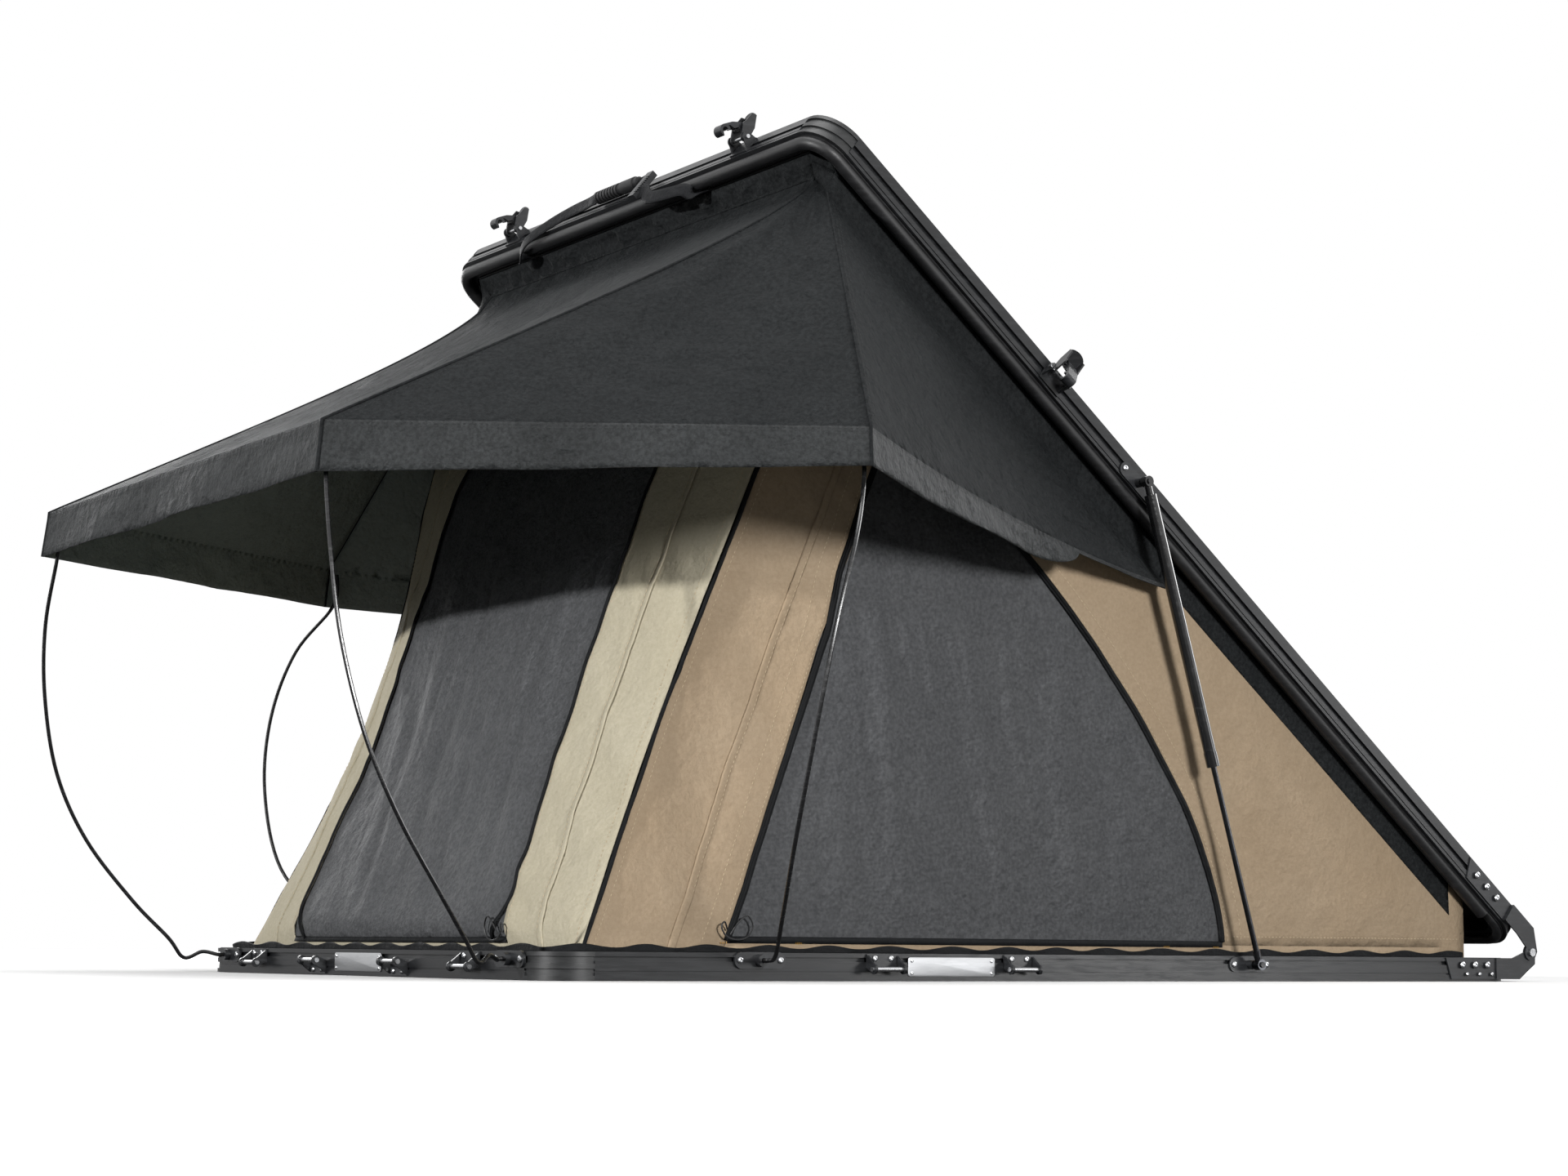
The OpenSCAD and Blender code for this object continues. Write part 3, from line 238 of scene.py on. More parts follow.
def make_weave():
    """Crossing threads: height of the weave, and how deep the gaps between threads are, which the finishes
    use as painted shade in the gaps and in a net's holes.
    """
    tree, given, out = new_group("crossing_threads", {"Threads": 1500.0, "Slub": 0.3}, ["Height", "Gap"])
    split = tree.nodes.new("ShaderNodeSeparateXYZ")
    tree.links.new(given["Vector"], split.inputs[0])
    turns = calc(tree, "MULTIPLY", given["Threads"], pi)
    waves = [calc(tree, "SINE", calc(tree, "MULTIPLY", split.outputs[i], turns)) for i in (0, 1)]
    product = calc(tree, "MULTIPLY", waves[0], waves[1])
    uneven = calc(tree, "MULTIPLY", speckle(tree, given["Vector"], 160.0, 3), given["Slub"])
    height = calc(tree, "ADD", calc(tree, "MULTIPLY_ADD", product, 0.5, 0.5), uneven)
    thread = calc(tree, "MULTIPLY", calc(tree, "ABSOLUTE", waves[0]), calc(tree, "ABSOLUTE", waves[1]))
    tree.links.new(height, out["Height"])
    tree.links.new(calc(tree, "SUBTRACT", 1.0, thread), out["Gap"])
    return tree


def make_cloud():
    """Broad uneven tone, as on cloth that has been folded and handled."""
    tree, given, out = new_group("uneven_tone", {"Scale": 6.0, "Contrast": 2.0}, ["Mask"])
    broad = speckle(tree, given["Vector"], given["Scale"], 6, 0.6)
    centred = calc(tree, "MULTIPLY_ADD", calc(tree, "SUBTRACT", broad, 0.5), given["Contrast"], 0.5)
    clamp = tree.nodes.new("ShaderNodeClamp")
    tree.links.new(centred, clamp.inputs["Value"])
    tree.links.new(clamp.outputs[0], out["Mask"])
    return tree


def make_grain():
    """Fine grain of a powder coat or a moulding, with handling marks."""
    tree, given, out = new_group("coat_grain", {"Scale": 900.0}, ["Height", "Marks"])
    fine = speckle(tree, given["Vector"], given["Scale"], 2, 0.6)
    stretch = tree.nodes.new("ShaderNodeMapping")
    stretch.inputs["Scale"].default_value = (3.0, 3.0, 22.0)
    tree.links.new(given["Vector"], stretch.inputs["Vector"])
    rubbed = speckle(tree, stretch.outputs[0], 7.0, 8, 0.7)
    marks = tree.nodes.new("ShaderNodeMapRange")
    marks.inputs["From Min"].default_value, marks.inputs["From Max"].default_value = 0.46, 0.74
    tree.links.new(rubbed, marks.inputs["Value"])
    tree.links.new(fine, out["Height"])
    tree.links.new(marks.outputs["Result"], out["Marks"])
    return tree


def make_brush():
    """Long fine lines left by brushing or drawing metal."""
    tree, given, out = new_group("drawn_lines", {"Along": (1.0, 1.0, 1.0)}, ["Lines"])
    stretch = tree.nodes.new("ShaderNodeVectorMath")
    stretch.operation = "MULTIPLY"
    tree.links.new(given["Vector"], stretch.inputs[0])
    tree.links.new(given["Along"], stretch.inputs[1])
    tree.links.new(speckle(tree, stretch.outputs[0], 40.0, 4, 0.6), out["Lines"])
    return tree


WEAVE, CLOUD, GRAIN, BRUSH = make_weave(), make_cloud(), make_grain(), make_brush()


# Finishes
class Finish:
    """A material being put together: one shader, and the effects that feed it."""

    def __init__(self, name, colour, roughness, metallic=0.0):
        self.material = bpy.data.materials.new(name)
        self.material.use_nodes = True
        self.tree = self.material.node_tree
        self.shader = self.tree.nodes["Principled BSDF"]
        self.colour = shade(colour)
        self.shader.inputs["Base Color"].default_value = self.colour
        self.shader.inputs["Roughness"].default_value = roughness
        self.shader.inputs["Metallic"].default_value = metallic
        self.material.diffuse_color = self.colour

    def points(self, cloth=False):
        """Where a point lies on the flat cloth, or in the object."""
        if cloth:
            node = self.tree.nodes.new("ShaderNodeUVMap")
            node.uv_map = "Cloth"
            return node.outputs["UV"]
        return self.tree.nodes.new("ShaderNodeTexCoord").outputs["Object"]

    def effect(self, group, vector, **values):
        node = self.tree.nodes.new("ShaderNodeGroup")
        node.node_tree = group
        self.tree.links.new(vector, node.inputs["Vector"])
        for label, value in values.items():
            node.inputs[label].default_value = value
        return node.outputs

    def tone(self, mask, other, amount=1.0):
        """Turns the colour towards another one where the mask is high."""
        mix = self.tree.nodes.new("ShaderNodeMix")
        mix.data_type = "RGBA"
        socket = self.shader.inputs["Base Color"]
        if socket.is_linked:
            self.tree.links.new(socket.links[0].from_socket, mix.inputs[6])
        else:
            mix.inputs[6].default_value = self.colour
        mix.inputs[7].default_value = shade(other)
        self.tree.links.new(calc(self.tree, "MULTIPLY", mask, amount), mix.inputs[0])
        self.tree.links.new(mix.outputs[2], socket)

    def gloss(self, mask, low, high):
        """Spreads the roughness between two values by the mask."""
        spread = self.tree.nodes.new("ShaderNodeMapRange")
        spread.inputs["To Min"].default_value, spread.inputs["To Max"].default_value = low, high
        self.tree.links.new(mask, spread.inputs["Value"])
        self.tree.links.new(spread.outputs["Result"], self.shader.inputs["Roughness"])

    def relief(self, height, strength, distance):
        """Adds a bump on top of those that are there."""
        bump = self.tree.nodes.new("ShaderNodeBump")
        bump.inputs["Strength"].default_value = strength
        bump.inputs["Distance"].default_value = distance
        self.tree.links.new(height, bump.inputs["Height"])
        socket = self.shader.inputs["Normal"]
        if socket.is_linked:
            self.tree.links.new(socket.links[0].from_socket, bump.inputs["Normal"])
        self.tree.links.new(bump.outputs["Normal"], socket)

    def plain(self, **values):
        """Sets the shader's sockets that are the same all over."""
        for label, value in values.items():
            self.shader.inputs[label.replace("_", " ")].default_value = value
        return self.material


def cloth_finish(
    name, colour, faded, gap, threads, roughness,
    bump=0.25, shine=0.08, slub=0.3, gap_shade_share=0.35, tone=0.5, creased=0.5, mottle=0.2,
):
    """Woven cloth: threads, painted shade in the gaps between them, faded areas, fine mottling and soft
    creases.
    """
    f = Finish(name, colour, roughness)
    weave = f.effect(WEAVE, f.points(cloth=True), Threads=threads, Slub=slub)
    cloud = f.effect(CLOUD, f.points(), Scale=5.0, Contrast=2.2)
    mottled = f.effect(CLOUD, f.points(), Scale=150.0, Contrast=4.0)
    f.tone(cloud["Mask"], faded, tone)
    # Painted shade: the gaps between threads, and a net's holes, are darkened towards the gap colour; that
    # colour also serves the random mottling below
    f.tone(weave["Gap"], gap, gap_shade_share)
    f.tone(mottled["Mask"], gap, mottle)
    f.gloss(cloud["Mask"], roughness - 0.06, roughness + 0.06)
    f.relief(weave["Height"], bump, distance=0.0004)
    f.relief(speckle(f.tree, f.points(), 24.0, 5, 0.6), creased, distance=0.014)
    return f.plain(Specular_IOR_Level=shine)


def coat_finish(name, colour, worn, roughness, grain=900.0, bump=0.12, coat=0.0):
    """A powder coat, a moulding, rubber or thread: fine grain, and marks of handling."""
    f = Finish(name, colour, roughness)
    fine = f.effect(GRAIN, f.points(), Scale=grain)
    f.tone(fine["Marks"], worn, 0.55)
    f.gloss(fine["Marks"], roughness - 0.05, roughness + 0.12)
    f.relief(fine["Height"], bump, distance=0.0003)
    return f.plain(Coat_Weight=coat, Coat_Roughness=0.12)


def metal_finish(name, colour, dull, roughness, along):
    """Bare metal with drawn lines and dull marks."""
    f = Finish(name, colour, roughness, metallic=1.0)
    lines = f.effect(BRUSH, f.points(), Along=along)
    marks = f.effect(GRAIN, f.points(), Scale=500.0)
    f.tone(marks["Marks"], dull, 0.6)
    f.gloss(lines["Lines"], roughness - 0.08, roughness + 0.14)
    f.relief(lines["Lines"], 0.06, distance=0.0002)
    return f.plain()


front_canvas = cloth_finish("front_canvas", "#c4bda9", "#b3aa92", "#8e856d", 1300.0, 0.82, bump=0.3)
side_canvas = cloth_finish("side_canvas", "#b5a28a", "#a58f74", "#7f6c53", 1300.0, 0.82, bump=0.3)
insect_mesh = cloth_finish(
    "insect_mesh", "#747577", "#606164", "#262728", 620.0, 0.6,
    bump=0.55, slub=0.1, gap_shade_share=0.75, creased=0.9, mottle=0.4,
)
canopy_cloth = cloth_finish(
    "canopy_cloth", "#252728", "#353738", "#121314", 1500.0, 0.6,
    bump=0.5, shine=0.05, tone=0.8, creased=1.0, mottle=0.6,
)
# The valance's outside: the canopy cloth made lighter, a painted highlight for the light that the hanging hem
# catches
canopy_hem_painted_light = cloth_finish(
    "canopy_hem_painted_light", "#303233", "#464849", "#161717", 1500.0, 0.5,
    bump=0.4, shine=0.12, tone=0.8, creased=1.0, mottle=0.6,
)
# The inner face: a grey-green coated lining, made lighter than it is as painted bounce light from the floor
# under the canopy
canopy_lining_painted_bounce = cloth_finish(
    "canopy_lining_painted_bounce", "#929c98", "#7e8784", "#5f6764", 1500.0, 0.5, bump=0.12, shine=0.2, creased=1.0
)
mattress_cover = cloth_finish("mattress_cover", "#8a847b", "#7a746b", "#565049", 900.0, 0.85, bump=0.35)
webbing = cloth_finish("webbing", "#1f2022", "#2a2b2d", "#0d0d0e", 700.0, 0.6, bump=0.6, gap_shade_share=0.5)
zip_tape = cloth_finish("zip_tape", "#1c1d1e", "#262729", "#0d0d0e", 900.0, 0.62, bump=0.4)
elastic = cloth_finish("elastic", "#1a1b1c", "#252628", "#0b0b0c", 800.0, 0.6, bump=0.5)
frame_black = coat_finish("frame_black", "#17181a", "#26282b", 0.34)
casting_black = coat_finish("casting_black", "#151617", "#222426", 0.44, 700.0, 0.2)
roof_skin = coat_finish("roof_skin", "#151617", "#1f2123", 0.55, 420.0, 0.35)
bracket_black = coat_finish("bracket_black", "#232426", "#3b3d41", 0.34, 800.0, 0.12)
latch_black = coat_finish("latch_black", "#1a1b1d", "#2c2e31", 0.38, 700.0, 0.16)
hook_black = coat_finish("hook_black", "#1e1f21", "#3a3c40", 0.3, 900.0, 0.1)
seal_rubber = coat_finish("seal_rubber", "#151516", "#252628", 0.5, 260.0, 0.2)
grip_rubber = coat_finish("grip_rubber", "#161617", "#262729", 0.62, 380.0, 0.4)
rod_black = coat_finish("rod_black", "#131314", "#2a2b2d", 0.26, 900.0, 0.05)
tube_gloss = coat_finish("tube_gloss", "#101011", "#1e1f21", 0.2, 900.0, 0.03, coat=0.6)
thread_black = coat_finish("thread_black", "#1b1c1d", "#2c2d2f", 0.7, 1500.0, 0.3)
webbing_cord = coat_finish("webbing_cord", "#141415", "#2a2b2d", 0.5, 1200.0, 0.3)
thread_tan = coat_finish("thread_tan", "#cdbb9d", "#b5a181", 0.75, 1500.0, 0.3)
thread_amber = coat_finish("thread_amber", "#c9962f", "#a87a22", 0.7, 1500.0, 0.3)
bright_steel = metal_finish("bright_steel", "#cfd0d2", "#9b9da0", 0.24, (1.0, 1.0, 8.0))
floor_sheet = metal_finish("floor_sheet", "#a9abae", "#8b8d90", 0.42, (12.0, 0.6, 1.0))
rail_mill = metal_finish("rail_mill", "#b4b6b9", "#8f9194", 0.38, (12.0, 0.5, 12.0))
strut_steel = metal_finish("strut_steel", "#4a4b4e", "#2f3033", 0.16, (1.0, 1.0, 1.0))
plate_metal = metal_finish("plate_metal", "#b9babc", "#9d9fa2", 0.40, (1.0, 1.0, 30.0))

NODE_FINISH = {
    "rail": frame_black, "castings": casting_black, "floor_panel": floor_sheet, "mounting": rail_mill,
    "hinge_plates": bracket_black, "hinge_bolts": bright_steel, "strut_brackets": bracket_black,
    "rod_sockets": bracket_black, "latch_keepers": bracket_black, "ladder_brackets": bracket_black,
    "pins": bright_steel, "roof_panel": roof_skin, "lid_seal": seal_rubber, "canopy_track": frame_black,
    "latch_bases": latch_black, "latch_lever": latch_black, "latch_hook": hook_black,
    "strap_grip": grip_rubber, "strap_handle": latch_black, "strut_rod": strut_steel,
    "strut_tube": tube_gloss,
}


def finish_nodes():
    """Gives each carried-over CAD node its finish; the longest name that fits it wins."""
    for name, node in nodes.items():
        fits = [key for key in NODE_FINISH if key in name]
        if not fits:
            continue
        material = NODE_FINISH[max(fits, key=len)]
        if not node.material_slots:
            node.data.materials.append(material)
        for place in node.material_slots:
            place.material = material


# Making pieces
def make_piece(name, bm, material, body, slot, sharp=35.0):
    """A piece on its body; edges that bend by more than the sharp angle stay crisp."""
    mesh = bpy.data.meshes.new(name)
    bm.to_mesh(mesh)
    bm.free()
    mesh.materials.append(material)
    mesh.polygons.foreach_set("use_smooth", [True] * len(mesh.polygons))
    mesh.set_sharp_from_angle(angle=radians(sharp))
    piece = bpy.data.objects.new(name, mesh)
    bpy.context.scene.collection.objects.link(piece)
    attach(piece, body)
    return piece


def cloth_piece(name, bm, material, body, slot, thickness, sharp=35.0):
    """A piece of cloth: a sheet that is given its thickness."""
    piece = make_piece(name, bm, material, body, slot, sharp)
    wall = piece.modifiers.new("cloth_thickness", "SOLIDIFY")
    wall.thickness, wall.offset = thickness, 0.0
    return piece


def tube_piece(name, route, radius, sides, material, body, slot):
    bm = bmesh.new()
    add_tube(bm, route, radius, sides)
    return make_piece(name, bm, material, body, slot)


def fold(pieces):
    """Gives each piece a mesh of its own."""
    for piece in pieces:
        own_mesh(piece)


def lay_down(pieces):
    fold(pieces)


def join_into(bm, part):
    """Adds a finished bmesh to another one and frees it."""
    mesh = bpy.data.meshes.new("part")
    part.to_mesh(mesh)
    part.free()
    bm.from_mesh(mesh)
    bpy.data.meshes.remove(mesh)


def settle(bm):
    """Puts points and faces in a fixed order; Blender's inset leaves them in one that varies by run."""
    bm.verts.sort(key=lambda p: p.co.dot(SORT_WAY))
    bm.faces.sort(key=lambda f: f.calc_center_median().dot(SORT_WAY))


def round_edges(bm, edges, radius, segments):
    bmesh.ops.bevel(
        bm, geom=edges, offset=radius, offset_type="OFFSET", segments=segments, profile=0.5,
        affect="EDGES", material=-1,
    )


def lay_grid(bm, columns, rows, place, material=0):
    """Adds a sheet: place(u, v) gives each point and where it lies on the flat cloth."""
    uv = bm.loops.layers.uv.get("Cloth") or bm.loops.layers.uv.new("Cloth")
    points = bmesh.ops.create_grid(bm, x_segments=columns, y_segments=rows, size=1.0)["verts"]
    reach = [max(p.co[i] for p in points) for i in (0, 1)]
    flat = {}
    for p in points:
        u, v = p.co.x / reach[0] / 2 + 0.5, p.co.y / reach[1] / 2 + 0.5
        p.co, flat[p] = place(u, v)
    for face in {f for p in points for f in p.link_faces}:
        face.material_index = material
        for loop in face.loops:
            loop[uv].uv = flat[loop.vert]


def straight(a, b, steps):
    return [Vector(a).lerp(Vector(b), t) for t in spaced(0, 1, steps)]


def smooth_route(points, steps):
    """A smooth line through the points, with that many steps in each span."""
    p, n, out = [Vector(q) for q in points], len(points) - 1, []
    for i in range(n):
        a, b, c, d = p[max(i - 1, 0)], p[i], p[i + 1], p[min(i + 2, n)]
        for s in range(steps):
            t = s / steps
            bend = (2 * a - 5 * b + 4 * c - d) * t * t
            out.append(0.5 * (2 * b + (c - a) * t + bend + (3 * b - a - 3 * c + d) * t ** 3))
    return out + [p[n]]


def even_route(points, pitch):
    """The same line, with points a pitch apart."""
    out, left = [points[0].copy()], pitch
    for a, b in zip(points, points[1:]):
        span = (b - a).length
        at = left
        while at <= span:
            out.append(a.lerp(b, at / span))
            at += pitch
        left = at - span
    return out


def shell_route(inset, r, rear, side_steps, turn_steps, front_steps):
    """Round the shell at an inset, from the rear right, over the front, to the rear left."""
    x, y = HALF_W - inset, HALF_L - inset
    turn = [pi / 2 * i / turn_steps for i in range(1, turn_steps)]
    route = [(x, at) for at in spaced(rear, -y + r, side_steps)]
    route += [(x - r + r * cos(a), -y + r - r * sin(a)) for a in turn]
    route += [(at, -y) for at in spaced(x - r, -x + r, front_steps)]
    route += [(-x + r - r * sin(a), -y + r - r * cos(a)) for a in turn]
    return route + [(-x, at) for at in spaced(-y + r, rear, side_steps)]


def add_tube(bm, route, radius, sides):
    """Adds a round bar along a route."""
    curve = bpy.data.curves.new("route", "CURVE")
    curve.dimensions, curve.use_fill_caps = "3D", True
    curve.bevel_depth, curve.bevel_resolution = radius, sides
    spline = curve.splines.new("POLY")
    spline.points.add(len(route) - 1)
    for point, place in zip(spline.points, route):
        point.co = (*place, 1.0)
    holder = bpy.data.objects.new("route", curve)
    mesh = bpy.data.meshes.new_from_object(holder)
    bm.from_mesh(mesh)
    bpy.data.objects.remove(holder)
    bpy.data.curves.remove(curve)
    bpy.data.meshes.remove(mesh)


def add_ribbon(bm, route, out, width, crown=0.0, across=2):
    """Adds a flat strip along a route; out is the way that its face looks."""
    n = len(route) - 1
    face = out.normalized()
    run = [0.0]
    for a, b in zip(route, route[1:]):
        run.append(run[-1] + (b - a).length)

    def place(u, v):
        i = round(v * n)
        along = (route[min(i + 1, n)] - route[max(i - 1, 0)]).normalized()
        side = face.cross(along).normalized()
        lift = crown * (1 - (2 * u - 1) ** 2)
        return route[i] + side * (width * (u - 0.5)) + face * lift, ((u - 0.5) * width, run[i])

    lay_grid(bm, across, n, place)


def add_stitches(bm, route, out, pitch=0.0085, length=0.0056, thick=0.0011):
    """Adds short raised stitches along a route; out is the way that the cloth looks."""
    row = bmesh.new()
    face = out.normalized()
    shape = Matrix.Diagonal((length / 2, thick / 2, thick / 2.6, 1))
    at = even_route(route, pitch)
    for a, b in zip(at, at[1:]):
        along = (b - a).normalized()
        side = face.cross(along).normalized()
        turn = Matrix((along, side, face)).transposed().to_4x4()
        seat = Matrix.Translation((a + b) / 2 + face * thick * 0.2)
        bmesh.ops.create_icosphere(row, subdivisions=1, radius=1.0, matrix=seat @ turn @ shape)
    join_into(bm, row)


def add_tacks(bm, at, rise_by, out):
    """Adds four bar tacks beside each other; at(step) is the foot of each."""
    for k in range(4):
        foot = at(TACK_STEP * k)
        add_stitches(bm, straight(foot, foot + rise_by, 2), out, pitch=0.0055, length=0.0046)


# Side walls
def ripple(a, b, seed):
    """How far tight cloth stands in or out at a place on a wall."""
    slanting = ridge(a * 5 + b * 6, a * 2.5 - b * 1.5, seed + 8)
    fine = ridge(a * 14 + b * 15, a * 6 - b * 4, seed + 11)
    return 0.004 * drift(a * 2.6, b * 1.3, seed) + 0.0080 * slanting + 0.0048 * fine


def net_folds(a, b):
    """Long upright folds of a hanging net."""
    return 0.0050 * drift(a * 22 + b * 3, b * 2.0, 17) + 0.0025 * drift(a * 55 + b * 9, b * 4.0, 23)


def front_edge_y(z):
    return FRONT_FOOT + (z - WALL_LOW) * tan(LEAN)


def strip_edge(z):
    """The side window's front edge, behind the wall's front strip."""
    return front_edge_y(z) + SIDE_STRIP - STRIP_STEP * rise(z, 0.55, 0.15)


def window_rear(z):
    """The side window's rear edge, which bends forward as it goes up."""
    t = (z - WINDOW_LOW) / (WINDOW_TOP - WINDOW_LOW)
    return WINDOW_REAR - WINDOW_REAR_RUN * max(t, 0.0) ** WINDOW_REAR_BEND


def head_z(y):
    return FRONT_HEAD.z - (y - FRONT_HEAD.y) * tan(LID_ANGLE)


def wall_top(y):
    """The side wall's upper edge: close under the track, and up to the lid's frame behind the canopy."""
    return head_z(y) + lerp(HEAD_GAP, 0.024, rise(y, 0.24, 0.12))


def arch(z, low, high):
    return sin(pi * min(max((z - low) / (high - low), 0.0), 1.0))


def narrowed(z):
    """The share of the front wall's width that the elastic inside it takes up."""
    return NARROWING * arch(z, 0.03, 0.90)


def set_back(z):
    """How far back the front corners are drawn."""
    return SET_BACK * arch(z, 0.05, 1.15)


def side_point(side, y, z, lift=0.0):
    """A point on a side wall: drawn in and back beside its front corner, with the cloth's own waves."""
    free = rise(z, 0.05, 0.10) * ease((head_z(y) - z) / 0.16)
    near = 1 - rise(y, front_edge_y(z), 0.45)
    waves = free * (0.002 + ripple(y, z, 3.0 * side))
    out = WALL_X + CLOTH / 2 + lift + waves - near * FRONT_HALF * narrowed(z)
    return Vector((side * out, y + near * set_back(z), z))


# The height at which the front strip's rear edge meets the lid
HEAD_MEET = (
    FRONT_HEAD.z + HEAD_GAP + (FRONT_HEAD.y - FRONT_FOOT - SIDE_STRIP + STRIP_STEP) * tan(LID_ANGLE)
    + WALL_LOW * tan(LEAN) * tan(LID_ANGLE)
) / (1 + tan(LEAN) * tan(LID_ANGLE))


def side_wall_cloth(side):
    """Front strip, foot strip, strip over the window and rear panel, sewn into one cloth."""
    bm = bmesh.new()

    def at(y, z):
        return side_point(side, y, z), (y, z)

    def quad(a, b, c, d):
        def place(u, v):
            y = lerp(lerp(a[0], b[0], u), lerp(d[0], c[0], u), v)
            z = lerp(lerp(a[1], b[1], u), lerp(d[1], c[1], u), v)
            return at(y, z)
        return place

    corner = (front_edge_y(WALL_LOW) + 0.003, WALL_LOW)
    foot = (strip_edge(WALL_LOW), WALL_LOW)
    head_y = FRONT_HEAD.y + 0.004
    head = (head_y, head_z(head_y) + 0.004)
    meet = (strip_edge(HEAD_MEET), HEAD_MEET)
    sill = (strip_edge(WINDOW_LOW), WINDOW_LOW)
    top_front, top_rear = (strip_edge(WINDOW_TOP), WINDOW_TOP), (window_rear(WINDOW_TOP), WINDOW_TOP)
    lay_grid(bm, 24, 96, quad(corner, foot, meet, head))
    lay_grid(bm, 60, 2, quad(foot, (SIDE_REAR, WALL_LOW), (SIDE_REAR, WINDOW_LOW), sill))
    lay_grid(bm, 5, 12, quad(top_front, top_rear, meet, meet))
    upright = 0.09

    def rear(u, v):
        """From the window's rear edge to the wall's upright rear end, then to its sloping top."""
        z = lerp(WINDOW_LOW, WINDOW_TOP, v)
        near = (window_rear(z), z)
        if v < upright:
            far = (SIDE_REAR, lerp(WINDOW_LOW, wall_top(SIDE_REAR), v / upright))
        else:
            y = lerp(SIDE_REAR, meet[0], (v - upright) / (1 - upright))
            far = (y, wall_top(y))
        return at(lerp(near[0], far[0], u), lerp(near[1], far[1], u))

    lay_grid(bm, 22, 44, rear)
    bmesh.ops.remove_doubles(bm, verts=bm.verts, dist=0.0004)
    bmesh.ops.dissolve_degenerate(bm, dist=0.0002, edges=bm.edges)
    return bm


def side_net_cloth(side):
    """The net, a little wider all round than its window and sewn in behind the canvas."""
    bm = bmesh.new()
    lap = 0.012

    def place(u, v):
        z = lerp(WINDOW_LOW - lap, WINDOW_TOP + lap, v)
        y = lerp(strip_edge(z) - lap, window_rear(z) + lap, u)
        sway = 0.002 * sin(9 * y + 3 * z) + net_folds(y, z)
        sway *= inside(u, 5) * inside(v, 6)
        return side_point(side, y, z, -0.0022 + sway), (y, z)

    lay_grid(bm, 130, 40, place)
    return bm


def side_band_cloth(side):
    """The dark band that the side wall ends in under the lid, from behind the canopy to the rear."""
    bm = bmesh.new()

    def place(u, v):
        low = opened(0, lerp(-0.42, 0.90, u), 0.0)
        p = side_point(side, low.y, lerp(low.z, wall_top(low.y) + 0.002, v), 0.0016)
        return p, (lerp(-0.10, 0.93, u), v * 0.05)

    lay_grid(bm, 90, 4, place)
    return bm


def side_line(side, back, low, high, steps, lift):
    """A line up or down a side wall; back(z) is how far back it runs."""
    return [side_point(side, back(z), z, lift) for z in spaced(low, high, steps)]


def side_window_route(side, lift, inset=0.0):
    """Round the window from its front foot, up, over the top and down the rear arc."""
    a, b = strip_edge(WINDOW_TOP), window_rear(WINDOW_TOP)
    route = side_line(side, lambda z: strip_edge(z) + inset, WINDOW_LOW, WINDOW_TOP - 0.03, 40, lift)
    route += [side_point(side, lerp(a, b, t) + inset, WINDOW_TOP - inset, lift) for t in (0.3, 0.7)]
    return route + side_line(side, lambda z: window_rear(z) - inset, WINDOW_TOP - 0.02, WINDOW_LOW, 50, lift)


def side_tape(side, out):
    """Zip tape round the window, the hem under it and the piping of the front corner."""
    bm = bmesh.new()
    add_ribbon(bm, even_route(side_window_route(side, 0.0018), 0.012), out, width=0.012, crown=0.0006)
    foot = spaced(strip_edge(WINDOW_LOW), WINDOW_REAR, 60)
    hem = [side_point(side, y, WINDOW_LOW + 0.002, 0.0018) for y in foot]
    add_ribbon(bm, hem, out, width=0.011, crown=0.0004)
    corner = side_line(side, lambda z: front_edge_y(z) + 0.002, WALL_LOW + 0.01, 1.27, 60, 0.0012)
    add_tube(bm, corner, 0.0030, 2)
    return bm


def side_sewing(side, out, felled):
    """Stitches beside the felled seam, the front corner, the window and the rear foot."""
    bm = bmesh.new()
    for gap in (-FELL_HALF, FELL_HALF):
        add_stitches(bm, felled(gap), out)
    corner = side_line(side, lambda z: front_edge_y(z) + 0.020, WALL_LOW + 0.012, 1.29, 80, 0.0010)
    add_stitches(bm, corner, out)
    for inset in (-0.014, -0.046):
        add_stitches(bm, even_route(side_window_route(side, 0.0010, inset), 0.006), out)
    add_stitches(bm, [side_point(side, y, 0.078, 0.0010) for y in spaced(0.36, 0.93, 40)], out)
    return bm


def make_side(side, label):
    """A side wall with its window net, zip, tape, felled seam, stitches and upper band."""
    out = Vector((side, 0, 0))

    def felled(gap):
        def back(z):
            return front_edge_y(z) + FELL_BACK + gap
        return side_line(side, back, WALL_LOW + 0.012, 1.235, 80, 0.0018)

    def cloth(name, bm, finish, slot, thickness):
        return cloth_piece(f"{label}_{name}", bm, finish, "base", slot, thickness)

    wall = cloth("wall_canvas", side_wall_cloth(side), side_canvas, "canvas", CANVAS_T)
    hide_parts(f"{label}_wall")
    net = cloth("window_net", side_net_cloth(side), insect_mesh, "mesh", NET_T)
    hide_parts(f"{label}_mesh")
    tape = cloth("window_tape", side_tape(side, out), zip_tape, "elastic", TAPE_T)
    coil = even_route(side_window_route(side, 0.0030), 0.010)
    zipper = tube_piece(f"{label}_window_zip", coil, 0.0024, 2, zip_tape, "base", "elastic")

    bm = bmesh.new()
    add_ribbon(bm, felled(0.0), out, WELT_W, crown=0.0010, across=4)
    welt = cloth("wall_welt", bm, side_canvas, "canvas", TAPE_T)
    band = cloth("wall_band", side_band_cloth(side), canopy_cloth, "canopy", TAPE_T)
    bm = side_sewing(side, out, felled)
    sewing = make_piece(f"{label}_wall_stitches", bm, thread_tan, "base", "canvas")

    bm = bmesh.new()
    for y in (strip_edge(WINDOW_LOW) - 0.012, strip_edge(WINDOW_LOW) + 0.13, 0.20, 0.316):
        add_tacks(bm, lambda step: side_point(side, y + step, WINDOW_LOW - 0.006, 0.0022), UP * 0.011, out)
    tacks = make_piece(f"{label}_zip_tacks", bm, thread_amber, "base", "canvas")

    lay_down((wall, net, tape, zipper, sewing, tacks, welt, band))


